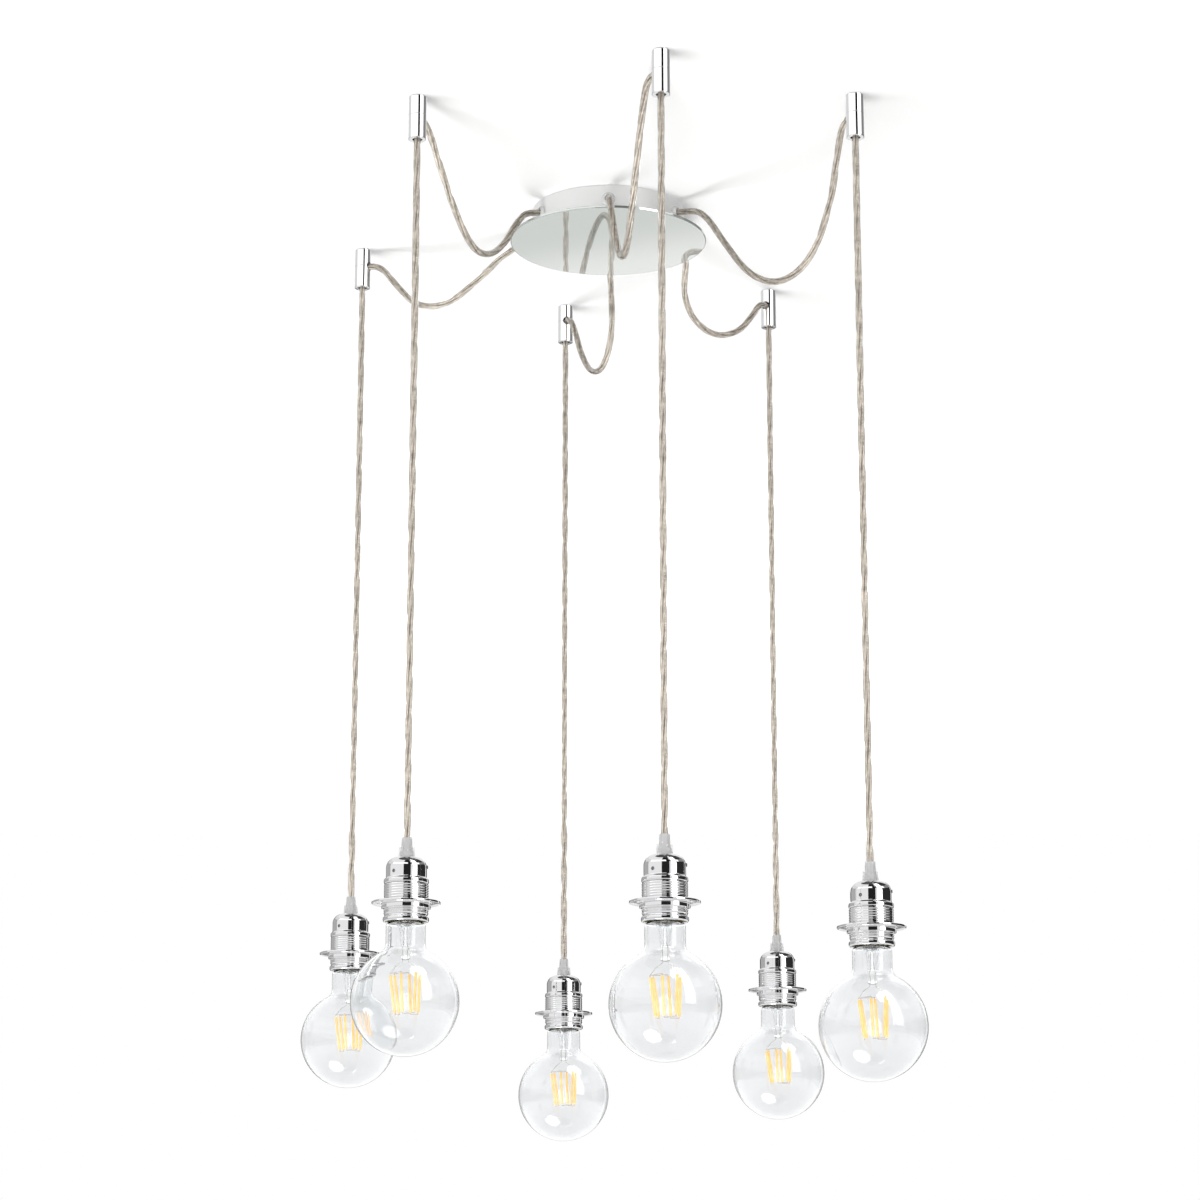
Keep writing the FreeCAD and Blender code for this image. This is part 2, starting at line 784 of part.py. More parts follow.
def shade_ring():
    """Threaded ring with a wide flange that holds a shade on the shell."""
    bore = dims.shell_crest_radius + dims.fit_gap
    under = -dims.ring_depth
    top = under + dims.ring_thickness
    flange = turned(
        "flange",
        [
            (bore, top + dims.ring_thickness / 2),
            (dims.ring_collar_radius, top + dims.ring_thickness / 2),
            (dims.ring_collar_radius + dims.ring_thickness, top),
            (dims.ring_radius, top),
            (dims.ring_radius, under - dims.ring_thickness / 2),
            (dims.ring_radius - dims.ring_thickness, under),
            (dims.ring_collar_radius, under),
            (dims.ring_collar_radius, under - dims.ring_collar_height),
            (bore, under - dims.ring_collar_height),
        ],
    )
    holes = []
    for number in range(RING_HOLES):
        hole = primitive(
            "Cylinder", "vent", Radius=dims.ring_hole_radius, Height=dims.ring_thickness * 3
        )
        move(hole, x=dims.ring_hole_circle, z=under - dims.ring_thickness)
        angle = dims.ring_hole_angle + number * 360 / RING_HOLES
        holes.append(move(group("vent_spoke", [hole]), turn=angle))
    return boolean("Cut", "vented_flange", flange, group("vents", holes))


def globe_centre():
    return -(dims.bulb_tip + dims.bulb_length - dims.bulb_radius)


def glass_body(name, shrink):
    """Globe and neck as one rounded solid, smaller by shrink."""
    ball_radius = dims.bulb_radius - shrink
    neck_radius = dims.neck_radius - shrink
    ball = move(primitive("Sphere", f"{name}_ball", Radius=ball_radius), z=globe_centre())
    top = -(dims.bulb_tip + dims.base_length)
    neck = primitive(
        "Cylinder", f"{name}_neck", Radius=neck_radius, Height=top - shrink - globe_centre()
    )
    move(neck, z=globe_centre())
    made = joined(name, [ball, neck])
    doc.recompute()
    rise = math.sqrt(ball_radius.value**2 - neck_radius.value**2)
    throat = globe_centre().value + rise
    shoulder = (top - shrink).value
    rounded = doc.addObject("Part::Fillet", f"{name}_rounded")
    rounded.Base = made
    edges = []
    for height, fillet in (
        (throat, dims.throat_round.value),
        (shoulder, dims.neck_round.value - shrink.value / 2),
    ):
        for edge in circles_at(made.Shape, neck_radius.value, height):
            edges.append((int(edge[4:]), fillet, fillet))
    rounded.Edges = edges
    return rounded


def bulb_globe():
    """Clear glass envelope: globe and neck, open where the stem is sealed in."""
    outer = glass_body("glass_outside", as_size(0))
    inner = glass_body("glass_inside", dims.glass_wall)
    seal = primitive(
        "Cylinder", "stem_seal", Radius=dims.stem_flare + dims.cord_gap, Height=dims.base_length
    )
    move(seal, z=-(dims.bulb_tip + dims.base_length + dims.neck_round))
    hollow = joined("glass_hollow", [inner, seal])
    return boolean("Cut", "glass", outer, hollow)


def bulb_core():
    """Screw cap, insulator, contact, glass stem with its pinch, and the filaments on their wires."""
    tip = -dims.bulb_tip
    foot = tip - dims.base_length + dims.fit_gap / 2
    bead_top = tip - dims.tip_height
    shoulder = bead_top - dims.glass_bead_height
    contact = move(
        primitive("Cylinder", "bulb_contact", Radius=dims.tip_radius, Height=dims.tip_height),
        z=bead_top,
    )
    bead = primitive(
        "Cylinder", "glass_bead", Radius=dims.glass_bead_radius, Height=dims.glass_bead_height
    )
    move(bead, z=shoulder)
    inner = dims.base_root_radius - dims.base_wall
    outline = [(dims.glass_bead_radius, shoulder + dims.base_wall * 2)]
    outline += [(dims.glass_bead_radius + dims.base_wall, shoulder + dims.base_wall * 2)]
    outline += ridges(
        BASE_RIDGES, shoulder - dims.base_wall, dims.base_pitch,
        dims.base_root_radius, dims.base_crest_radius,
    )
    outline += [
        (dims.base_crest_radius, foot + dims.base_wall),
        (dims.base_crest_radius, foot),
        (inner, foot),
        (inner, shoulder - dims.base_wall * 2),
        (dims.glass_bead_radius, shoulder),
    ]
    screw_cap = turned("screw_cap", outline)

    seal = tip - dims.base_length
    pinch_top = globe_centre() + dims.pinch_top
    tube_inside = dims.stem_radius - dims.stem_wall
    tube = turned(
        "stem_tube",
        [
            (tube_inside, pinch_top),
            (dims.stem_radius, pinch_top),
            (dims.stem_radius, seal - dims.stem_flare_height),
            (dims.stem_flare, seal - dims.glass_wall),
            (dims.stem_flare, seal),
            (dims.stem_flare - dims.stem_wall, seal),
            (tube_inside, seal - dims.stem_flare_height + dims.stem_wall),
        ],
    )
    pinch = primitive(
        "Box",
        "pinch",
        Length=dims.pinch_width,
        Width=dims.pinch_thickness,
        Height=dims.pinch_top - dims.pinch_foot,
    )
    move(pinch, -dims.pinch_width / 2, -dims.pinch_thickness / 2, globe_centre() + dims.pinch_foot)
    return [contact, bead, screw_cap, tube, pinch, filament_cage()]


def filament_cage():
    """Six leaning filaments between two wire rings, hung from the pinch on two wires."""
    centre = globe_centre().value
    top = centre + dims.filament_top.value
    foot = centre + dims.filament_foot.value
    wire = dims.filament_wire.value
    pieces = []
    for number in range(FILAMENTS):
        angle = math.radians(number * 360 / FILAMENTS)
        out = Vector(math.cos(angle), math.sin(angle), 0)
        high = out * dims.filament_top_circle.value + Vector(0, 0, top)
        low = out * dims.filament_foot_circle.value + Vector(0, 0, foot)
        lean = high - low
        pieces.append(Part.makeCylinder(dims.filament_radius.value, lean.Length, low, lean))
    up = Vector(0, 0, 1)
    for circle, height in (
        (dims.filament_top_circle.value, top),
        (dims.filament_foot_circle.value, foot),
    ):
        pieces.append(Part.makeTorus(circle, wire, Vector(0, 0, height), up))
    pinch_foot = centre + dims.pinch_foot.value
    for side in (-1, 1):
        high = Vector(side * dims.pinch_width.value / 4, 0, pinch_foot)
        low = Vector(side * dims.filament_top_circle.value, 0, top)
        pieces.append(Part.makeCylinder(wire, (high - low).Length, low, high - low))
    cage = doc.addObject("Part::Feature", "filament_cage")
    solid = pieces[0].multiFuse(pieces[1:])
    below = Part.makeBox(100, 100, 100, Vector(-50, -50, pinch_foot - 100))
    cage.Shape = solid.common(below)
    return cage


def lamps():
    """One lamp on each drop: grip, cap, shell, insert, shade ring and bulb."""
    pieces = {
        "cord_grip": [grip()],
        "holder_cap": cap(),
        "holder_shell": [holder_shell()],
        "holder_insert": insert(),
        "shade_ring": [shade_ring()],
        "bulb_globe": [bulb_globe()],
        "bulb_core": bulb_core(),
    }
    for number in range(DROPS):
        x, y = drop_place(number)
        for name, parts in pieces.items():
            node(f"{name}_{number + 1}", parts, x, y, -drop_depth(number))


rose()
retainers()
cords()
lamps()
doc.recompute()

broken = [o.Name for o in doc.Objects if "Invalid" in o.State or "Error" in o.State]
if broken:
    raise SystemExit(f"failed objects: {broken}")
for part in nodes:
    if part.Shape.isNull() or not part.Shape.isValid() or not part.Shape.Solids:
        raise SystemExit(f"bad shape: {part.Label}")
    if any(solid.Volume <= 0 for solid in part.Shape.Solids):
        raise SystemExit(f"inside out: {part.Label}")

os.makedirs("parts", exist_ok=True)
for part in nodes:
    part.Shape.exportStep(f"parts/{part.Label}.step")
whole = Part.Compound([part.Shape for part in nodes]).BoundBox
print(f"{len(nodes)} nodes, {whole.XLength:.0f} x {whole.YLength:.0f} x {whole.ZLength:.0f}")
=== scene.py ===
"""Dressed model of a cluster pendant: ceiling rose, six swagged cords, six bare globe bulbs.

Sizes are in millimetres, turned into metres by MM. Drops are numbered from the left front one
round to the left back one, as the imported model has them.
"""

import math

import bpy
from mathutils import Matrix, Vector


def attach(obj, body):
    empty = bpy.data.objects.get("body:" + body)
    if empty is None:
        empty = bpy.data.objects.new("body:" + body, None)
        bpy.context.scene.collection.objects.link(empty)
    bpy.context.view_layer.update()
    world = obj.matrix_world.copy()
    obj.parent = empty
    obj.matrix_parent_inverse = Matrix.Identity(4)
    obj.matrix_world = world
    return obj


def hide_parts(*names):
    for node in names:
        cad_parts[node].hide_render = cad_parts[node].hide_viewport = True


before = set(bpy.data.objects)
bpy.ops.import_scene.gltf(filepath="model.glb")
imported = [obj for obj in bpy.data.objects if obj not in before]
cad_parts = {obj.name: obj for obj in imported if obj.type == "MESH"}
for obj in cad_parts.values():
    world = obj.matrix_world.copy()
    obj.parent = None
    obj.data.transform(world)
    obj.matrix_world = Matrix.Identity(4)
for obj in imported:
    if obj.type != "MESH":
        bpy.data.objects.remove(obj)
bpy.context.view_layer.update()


# Ceiling rose drum
# A spun steel drum, powder coated white, held to the ceiling by two screws inside it. Its wall
# has six holes for the cord bushes, and its open bottom takes the mirror disc.
MM = 0.001
AXIS = 0.0003
DRUM_RADIUS = 77.5
DRUM_HEIGHT = 30
DRUM_WALL = 1.5
HOLE_ANGLES = [-150, -90, -30, 30, 90, 150]
HOLE_DEPTH = 15
HOLE_RADIUS = 5
CEILING_SCREWS = 50
SCREW_RADIUS = 2.5
ENTRY_RADIUS = 10


def bend(middle, height, radius, start, end, steps):
    """Points of a turned outline along an arc, angles in degrees from the outward direction."""
    points = []
    for step in range(steps + 1):
        angle = math.radians(start + (end - start) * step / steps)
        points.append((middle + radius * math.cos(angle), height + radius * math.sin(angle)))
    return points


def spun(name, outline, sides=96, closed=True, crease=35):
    """Turn an outline of (radius, height) about Z: a ring, extruded from point to point."""
    bpy.ops.object.select_all(action="DESELECT")
    radius, height = outline[0]
    bpy.ops.mesh.primitive_circle_add(
        vertices=sides, radius=radius * MM, location=(0, 0, height * MM)
    )
    piece = bpy.context.object
    piece.name = name
    piece.data.name = name
    bpy.ops.object.transform_apply(location=True)
    bpy.ops.object.mode_set(mode="EDIT")
    bpy.ops.mesh.select_all(action="SELECT")
    for next_radius, next_height in outline[1:] + (outline[:1] if closed else []):
        rise = (next_height - height) * MM
        bpy.ops.mesh.extrude_region_move(TRANSFORM_OT_translate={"value": (0, 0, rise)})
        grow = next_radius / radius
        bpy.ops.transform.resize(
            value=(grow, grow, 1), center_override=(0, 0, next_height * MM)
        )
        radius, height = next_radius, next_height
    bpy.ops.mesh.select_all(action="SELECT")
    bpy.ops.mesh.remove_doubles(threshold=1e-6)
    bpy.ops.mesh.normals_make_consistent(inside=False)
    bpy.ops.object.mode_set(mode="OBJECT")
    bpy.ops.object.shade_smooth_by_angle(angle=math.radians(crease))
    return piece


def pick(piece):
    """Make one object the selected and active one."""
    bpy.ops.object.select_all(action="DESELECT")
    piece.select_set(True)
    bpy.context.view_layer.objects.active = piece


def drill(piece, tools, kind="DIFFERENCE", crease=35):
    """Cut tools out of a piece, or fuse them to it, and throw the tools away."""
    for tool in tools:
        pick(piece)
        cut = piece.modifiers.new("cut", "BOOLEAN")
        cut.operation = kind
        cut.solver = "EXACT"
        cut.object = tool
        bpy.ops.object.modifier_apply(modifier=cut.name)
        bpy.data.objects.remove(tool)
    pick(piece)
    bpy.ops.object.shade_smooth_by_angle(angle=math.radians(crease))
    even = piece.modifiers.new("even shading", "WEIGHTED_NORMAL")
    even.keep_sharp = True
    bpy.ops.object.modifier_apply(modifier=even.name)


def rod(radius, start, end, sides=32):
    """A cylinder from start to end, millimetres."""
    start, end = Vector(start), Vector(end)
    bpy.ops.object.select_all(action="DESELECT")
    bpy.ops.mesh.primitive_cylinder_add(
        vertices=sides, radius=radius * MM, depth=(end - start).length * MM
    )
    piece = bpy.context.object
    turn = Vector((0, 0, 1)).rotation_difference(end - start).to_matrix().to_4x4()
    piece.data.transform(Matrix.Translation((start + end) / 2 * MM) @ turn)
    return piece


def on_spoke(angle, out, height=0):
    """Matrix that lays a piece's Z axis outward along a spoke of the rose."""
    turn = Matrix.Rotation(math.radians(angle), 4, "Z")
    lay = Matrix.Rotation(math.radians(90), 4, "Y")
    return turn @ Matrix.Translation((out * MM, 0, height * MM)) @ lay


def finish(piece, material, body, slot, *nodes):
    """Give a piece its material and the body it moves with, and hide the nodes it stands for."""
    if material:
        piece.data.materials.clear()
        piece.data.materials.append(material)
    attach(piece, body)
    if nodes:
        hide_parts(*nodes)


drum = spun(
    "rose_drum",
    [(AXIS, 0)]
    + [(CEILING_SCREWS, 0)]
    + bend(DRUM_RADIUS - 0.8, -0.8, 0.8, 90, 0, 5)
    + [(DRUM_RADIUS, -DRUM_HEIGHT + 0.3), (DRUM_RADIUS - 0.3, -DRUM_HEIGHT)]
    + [(DRUM_RADIUS - DRUM_WALL, -DRUM_HEIGHT), (DRUM_RADIUS - DRUM_WALL, -DRUM_WALL)]
    + [(AXIS, -DRUM_WALL)],
    sides=192,
    closed=False,
)
bits = [
    rod(SCREW_RADIUS, (side * CEILING_SCREWS, 0, 3), (side * CEILING_SCREWS, 0, -6))
    for side in (-1, 1)
]
bits.append(rod(ENTRY_RADIUS, (0, 0, 3), (0, 0, -6), sides=64))
for angle in HOLE_ANGLES:
    bit = rod(HOLE_RADIUS, (0, 0, -8), (0, 0, 8))
    bit.data.transform(on_spoke(angle, DRUM_RADIUS, -HOLE_DEPTH))
    bits.append(bit)
drill(drum, bits)


def surface_group():
    """Shader group: soft unevenness of gloss, and a fine ripple of the surface."""
    group = bpy.data.node_groups.new("surface unevenness", "ShaderNodeTree")
    tree = group.interface
    for name, value in (("Scale", 60.0), ("Low", 0.1), ("High", 0.2), ("Ripple", 0.02)):
        tree.new_socket(name, in_out="INPUT", socket_type="NodeSocketFloat").default_value = value
    tree.new_socket("Roughness", in_out="OUTPUT", socket_type="NodeSocketFloat")
    tree.new_socket("Normal", in_out="OUTPUT", socket_type="NodeSocketVector")
    nodes, links = group.nodes, group.links
    given = nodes.new("NodeGroupInput")
    out = nodes.new("NodeGroupOutput")
    place = nodes.new("ShaderNodeTexCoord")
    cloud = nodes.new("ShaderNodeTexNoise")
    cloud.inputs["Detail"].default_value = 6
    spread = nodes.new("ShaderNodeMapRange")
    grain = nodes.new("ShaderNodeTexNoise")
    grain.inputs["Detail"].default_value = 3
    finer = nodes.new("ShaderNodeMath")
    finer.operation = "MULTIPLY"
    finer.inputs[1].default_value = 14
    bump = nodes.new("ShaderNodeBump")
    bump.inputs["Distance"].default_value = 0.0002
    links.new(place.outputs["Object"], cloud.inputs["Vector"])
    links.new(given.outputs["Scale"], cloud.inputs["Scale"])
    links.new(cloud.outputs["Fac"], spread.inputs["Value"])
    spread.inputs["From Min"].default_value = 0.3
    spread.inputs["From Max"].default_value = 0.7
    links.new(given.outputs["Low"], spread.inputs["To Min"])
    links.new(given.outputs["High"], spread.inputs["To Max"])
    links.new(spread.outputs["Result"], out.inputs["Roughness"])
    links.new(given.outputs["Scale"], finer.inputs[0])
    links.new(place.outputs["Object"], grain.inputs["Vector"])
    links.new(finer.outputs["Value"], grain.inputs["Scale"])
    links.new(grain.outputs["Fac"], bump.inputs["Height"])
    links.new(given.outputs["Ripple"], bump.inputs["Strength"])
    links.new(bump.outputs["Normal"], out.inputs["Normal"])
    return group


def tint_group():
    """Shader group: a colour that drifts a little over the surface."""
    group = bpy.data.node_groups.new("colour drift", "ShaderNodeTree")
    tree = group.interface
    tree.new_socket("Scale", in_out="INPUT", socket_type="NodeSocketFloat")
    for name in ("Light", "Dark"):
        tree.new_socket(name, in_out="INPUT", socket_type="NodeSocketColor")
    tree.new_socket("Color", in_out="OUTPUT", socket_type="NodeSocketColor")
    nodes, links = group.nodes, group.links
    given = nodes.new("NodeGroupInput")
    out = nodes.new("NodeGroupOutput")
    place = nodes.new("ShaderNodeTexCoord")
    cloud = nodes.new("ShaderNodeTexNoise")
    cloud.inputs["Detail"].default_value = 4
    mix = nodes.new("ShaderNodeMix")
    mix.data_type = "RGBA"
    links.new(place.outputs["Object"], cloud.inputs["Vector"])
    links.new(given.outputs["Scale"], cloud.inputs["Scale"])
    links.new(cloud.outputs["Fac"], mix.inputs["Factor"])
    links.new(given.outputs["Dark"], mix.inputs[6])
    links.new(given.outputs["Light"], mix.inputs[7])
    links.new(mix.outputs[2], out.inputs["Color"])
    return group


UNEVENNESS = surface_group()
DRIFT = tint_group()


def finish_of(name, light, dark, gloss, scale=60, ripple=0.02, **sockets):
    """A material: drifting colour, uneven gloss, fine ripple, and plain shader settings."""
    material = bpy.data.materials.new(name)
    material.use_nodes = True
    nodes, links = material.node_tree.nodes, material.node_tree.links
    shader = nodes["Principled BSDF"]
    colour = nodes.new("ShaderNodeGroup")
    colour.node_tree = DRIFT
    colour.inputs["Scale"].default_value = scale
    colour.inputs["Light"].default_value = (*light, 1)
    colour.inputs["Dark"].default_value = (*dark, 1)
    links.new(colour.outputs["Color"], shader.inputs["Base Color"])
    uneven = nodes.new("ShaderNodeGroup")
    uneven.node_tree = UNEVENNESS
    uneven.inputs["Scale"].default_value = scale
    uneven.inputs["Low"].default_value = gloss[0]
    uneven.inputs["High"].default_value = gloss[1]
    uneven.inputs["Ripple"].default_value = ripple
    links.new(uneven.outputs["Roughness"], shader.inputs["Roughness"])
    if ripple:
        links.new(uneven.outputs["Normal"], shader.inputs["Normal"])
    for socket, value in sockets.items():
        shader.inputs[socket.replace("_", " ")].default_value = value
    return material


WHITE_COAT = finish_of(
    "white powder coat", (0.84, 0.84, 0.835), (0.80, 0.80, 0.795), (0.32, 0.42), 90, 0.25
)
finish(drum, WHITE_COAT, "root", "rose_white", "rose_base")


# Mirror disc
# A round glass mirror with a polished edge on a thin backing ring. The ring plugs into the
# drum, so nothing shows below it but the mirror.
DISC_RADIUS = 100
DISC_THICKNESS = 3
RING_OUT = DRUM_RADIUS - DRUM_WALL - 0.3
RING_IN = RING_OUT - 2
RING_RISE = 7
face = -DRUM_HEIGHT
under = face - DISC_THICKNESS
disc = spun(
    "rose_mirror",
    [(AXIS, face), (RING_IN, face), (RING_IN, face + RING_RISE), (RING_OUT, face + RING_RISE)]
    + [(RING_OUT, face), (DISC_RADIUS - 0.3, face), (DISC_RADIUS, face - 0.3)]
    + bend(DISC_RADIUS - 0.9, under + 0.9, 0.9, 0, -90, 6)
    + [(DISC_RADIUS - 1.3, under), (AXIS, under)],
    sides=256,
    closed=False,
)
MIRROR = finish_of(
    "green-grey mirror", (0.50, 0.53, 0.515), (0.47, 0.50, 0.487), (0.02, 0.05), 12, 0, Metallic=0.7
)
# The grey-green tint is the mirror's own. Its fade from darker at the front left to lighter at the
# back right is painted reflection of the room below.
nodes, links = MIRROR.node_tree.nodes, MIRROR.node_tree.links
place = nodes.new("ShaderNodeTexCoord")
across = nodes.new("ShaderNodeVectorMath")
across.operation = "DOT_PRODUCT"
across.inputs[1].default_value = (0.5, 1.0, 0.0)
reflection_fade_mask = nodes.new("ShaderNodeMapRange")
reflection_fade_mask.interpolation_type = "SMOOTHSTEP"
reflection_fade_mask.inputs["From Min"].default_value = -0.05
reflection_fade_mask.inputs["From Max"].default_value = 0.11
painted_reflection_colour = nodes.new("ShaderNodeMix")
painted_reflection_colour.data_type = "RGBA"
painted_reflection_colour.inputs[6].default_value = (0.565, 0.595, 0.575, 1)
painted_reflection_colour.inputs[7].default_value = (0.80, 0.82, 0.80, 1)
links.new(place.outputs["Object"], across.inputs[0])
links.new(across.outputs["Value"], reflection_fade_mask.inputs["Value"])
links.new(reflection_fade_mask.outputs["Result"], painted_reflection_colour.inputs["Factor"])
links.new(painted_reflection_colour.outputs[2], nodes["Principled BSDF"].inputs["Base Color"])
finish(disc, MIRROR, "root", "mirror_disc", "rose_disc")


# Cord bushes
# Small clear bushes snapped into the drum's holes. Each has a rounded outer flange, a lip inside
# the wall and a bore that holds the cord.
BUSH_BORE = 3.4
lip = -DRUM_WALL - 0.45
bush = spun(
    "bush",
    [(BUSH_BORE, lip - 2), (6, lip - 2), (6, lip), (HOLE_RADIUS - 0.3, lip)]
    + [(HOLE_RADIUS - 0.3, 0), (6.3, 0), (6.5, 0.2), (6.5, 1.5)]
    + bend(5.7, 1.6, 0.8, 0, 70, 4)
    + bend(4.2, 3.5, 0.5, 40, 130, 4)
    + [(BUSH_BORE, 3.4)],
    sides=48,
)
CLEAR_PLASTIC = finish_of(
    "clear moulded plastic",
    (0.95, 0.95, 0.945),
    (0.92, 0.92, 0.915),
    (0.08, 0.2),
    160,
    0.05,
    Transmission_Weight=0.35,
    IOR=1.47,
)
bushes = []
for angle in HOLE_ANGLES:
    copy = bush.copy()
    copy.data = bush.data.copy()
    bpy.context.collection.objects.link(copy)
    copy.data.transform(on_spoke(angle, DRUM_RADIUS, -HOLE_DEPTH))
    bushes.append(copy)
bpy.data.objects.remove(bush)
bpy.ops.object.select_all(action="DESELECT")
for copy in bushes:
    copy.select_set(True)
bpy.context.view_layer.objects.active = bushes[0]
bpy.ops.object.join()
bushes = bpy.context.object
bushes.name = "rose_bushes"
finish(bushes, CLEAR_PLASTIC, "root", "clear_plastic", "rose_glands")


# Terminal block
# A moulded three-way block with brass screws, on the back plate inside the drum. The packed
# solids already have its form.
BLOCK_PLASTIC = finish_of(
    "terminal block plastic", (0.80, 0.78, 0.72), (0.74, 0.72, 0.66), (0.45, 0.6), 200, 0.2
)
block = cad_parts["rose_terminal_block"]
for place in block.material_slots:
    place.material = BLOCK_PLASTIC


# Ceiling retainers
# Two-part brass cylinders, polished and chromed. The base is screwed to the ceiling and the
# barrel pushes into it. The cord goes in at their seam and comes out through the barrel's floor.
DROPS = [
    (-178, -302, 713),
    (46, -409, 727),
    (228, -307, 735),
    (177, 247, 729),
    (-47, 300, 748),
    (-260, 116, 707),
]
CORD_SIDES = [(8, 19), (-12, 17), (-10, 18), (-10, -19), (5, -20), (20, -8)]
RETAINER_RADIUS = 8.25
RETAINER_HEIGHT = 42
SEAM = 18.4
SIDE_HOLE = 4.5
inside = RETAINER_RADIUS - 1.4
base = spun(
    "base",
    [(2.1, 0)]
    + bend(RETAINER_RADIUS - 0.5, -0.5, 0.5, 90, 0, 4)
    + bend(RETAINER_RADIUS - 0.25, -SEAM + 0.25, 0.25, 0, -90, 3)
    + [(inside, -SEAM), (inside, -3), (2.1, -3)],
    sides=64,
)
barrel = spun(
    "barrel",
    [(inside - 1.3, -SEAM + 6), (inside - 0.3, -SEAM + 6), (inside - 0.3, -SEAM)]
    + bend(RETAINER_RADIUS - 0.25, -SEAM - 0.25, 0.25, 90, 0, 3)
    + bend(RETAINER_RADIUS - 0.7, -RETAINER_HEIGHT + 0.7, 0.7, 0, -90, 5)
    + bend(4.9, -RETAINER_HEIGHT + 0.5, 0.5, -90, -180, 4)
    + [(4.4, -RETAINER_HEIGHT + 2), (inside - 1.3, -RETAINER_HEIGHT + 2)],
    sides=64,
)
for half in (base, barrel):
    drill(half, [rod(SIDE_HOLE, (0, 0, -SEAM), (RETAINER_RADIUS * 2, 0, -SEAM), sides=48)])


def set_round(master, name):
    """Copies of a retainer half, one on each drop, joined into one piece."""
    copies = []
    for (x, y, _), (side_x, side_y) in zip(DROPS, CORD_SIDES):
        copy = master.copy()
        copy.data = master.data.copy()
        bpy.context.collection.objects.link(copy)
        turn = Matrix.Rotation(math.atan2(side_y, side_x), 4, "Z")
        copy.data.transform(Matrix.Translation((x * MM, y * MM, 0)) @ turn)
        copies.append(copy)
    bpy.data.objects.remove(master)
    bpy.ops.object.select_all(action="DESELECT")
    for copy in copies:
        copy.select_set(True)
    bpy.context.view_layer.objects.active = copies[0]
    bpy.ops.object.join()
    joined = bpy.context.object
    joined.name = name
    return joined


CHROME = finish_of(
    "polished chrome", (0.80, 0.80, 0.81), (0.76, 0.76, 0.77), (0.03, 0.07), 45, 0.01, Metallic=1
)
finish(set_round(base, "retainer_bases_chromed"), CHROME, "root", "chrome", "retainer_bases")
finish(set_round(barrel, "retainer_barrels_chromed"), CHROME, "root", "chrome", "retainer_barrels")


# Cords
# Clear round sheath, 6.5 mm, over three tinned cores twisted at a 115 mm lay. The swags hang
# from rose to retainer under their own weight, and the drops are held straight by their lamps.
CORD_RADIUS = 3.25
CORE_RADIUS = 1.12
CORE_CIRCLE = 1.3
CORE_LAY = 115
GRIP_DEPTH = 6.5
SWAGS = [
    [
        (-0.0572, -0.0330, -0.0150),
        (-0.0805, -0.0465, -0.0150),
        (-0.092, -0.072, -0.038),
        (-0.103, -0.103, -0.072),
        (-0.116, -0.143, -0.099),
        (-0.131, -0.188, -0.108),
        (-0.147, -0.230, -0.083),
        (-0.160, -0.261, -0.048),
        (-0.170, -0.283, -0.020),
        (-0.178, -0.302, -0.018),
        (-0.178, -0.302, -0.03775),
    ],
    [
        (0.000, -0.066, -0.015),
        (0.000, -0.093, -0.015),
        (0.003, -0.117, -0.044),
        (0.007, -0.141, -0.083),
        (0.012, -0.179, -0.116),
        (0.017, -0.226, -0.122),
        (0.022, -0.275, -0.092),
        (0.027, -0.318, -0.053),
        (0.031, -0.358, -0.029),
        (0.034, -0.392, -0.020),
        (0.046, -0.409, -0.018),
        (0.046, -0.409, -0.03775),
    ],
    [
        (0.0572, -0.0330, -0.0150),
        (0.0805, -0.0465, -0.0150),
        (0.096, -0.080, -0.031),
        (0.114, -0.112, -0.074),
        (0.137, -0.154, -0.124),
        (0.165, -0.203, -0.149),
        (0.192, -0.248, -0.137),
        (0.208, -0.273, -0.088),
        (0.213, -0.281, -0.047),
        (0.218, -0.289, -0.020),
        (0.228, -0.307, -0.018),
        (0.228, -0.307, -0.03775),
    ],
    [
        (0.0572, 0.0330, -0.0150),
        (0.0805, 0.0465, -0.0150),
        (0.082, 0.073, -0.027),
        (0.079, 0.101, -0.054),
        (0.091, 0.133, -0.073),
        (0.115, 0.166, -0.079),
        (0.141, 0.194, -0.065),
        (0.157, 0.214, -0.040),
        (0.167, 0.228, -0.020),
        (0.177, 0.247, -0.018),
        (0.177, 0.247, -0.03775),
    ],
    [
        (0.000, 0.066, -0.015),
        (0.000, 0.093, -0.015),
        (0.003, 0.112, -0.038),
        (0.004, 0.108, -0.068),
        (0.004, 0.112, -0.097),
        (-0.005, 0.146, -0.122),
        (-0.018, 0.192, -0.112),
        (-0.029, 0.230, -0.079),
        (-0.036, 0.258, -0.042),
        (-0.042, 0.280, -0.020),
        (-0.047, 0.300, -0.018),
        (-0.047, 0.300, -0.03775),
    ],
    [
        (-0.0572, 0.0330, -0.0150),
        (-0.0805, 0.0465, -0.0150),
        (-0.106, 0.058, -0.022),
        (-0.132, 0.068, -0.046),
        (-0.168, 0.082, -0.073),
        (-0.201, 0.094, -0.070),
        (-0.224, 0.104, -0.042),
        (-0.240, 0.108, -0.020),
        (-0.260, 0.116, -0.018),
        (-0.260, 0.116, -0.03775),
    ],
]
SWAG_LENGTHS = [0.377, 0.438, 0.464, 0.310, 0.367, 0.273]

SHEATH = finish_of(
    "clear cord sheath",
    (0.99, 0.985, 0.975),
    (0.97, 0.965, 0.955),
    (0.02, 0.06),
    90,
    0.02,
    Transmission_Weight=1,
    IOR=1.34,
)
# The cores' colour wanders at random from pale tin to near black. The near black is painted shade,
# standing in for the dark streaks between the strands.
CORES = finish_of(
    "twisted tinned cores",
    (0.88, 0.81, 0.72),
    (0.09, 0.07, 0.05),
    (0.28, 0.45),
    170,
    0.1,
    Metallic=0.5,
)


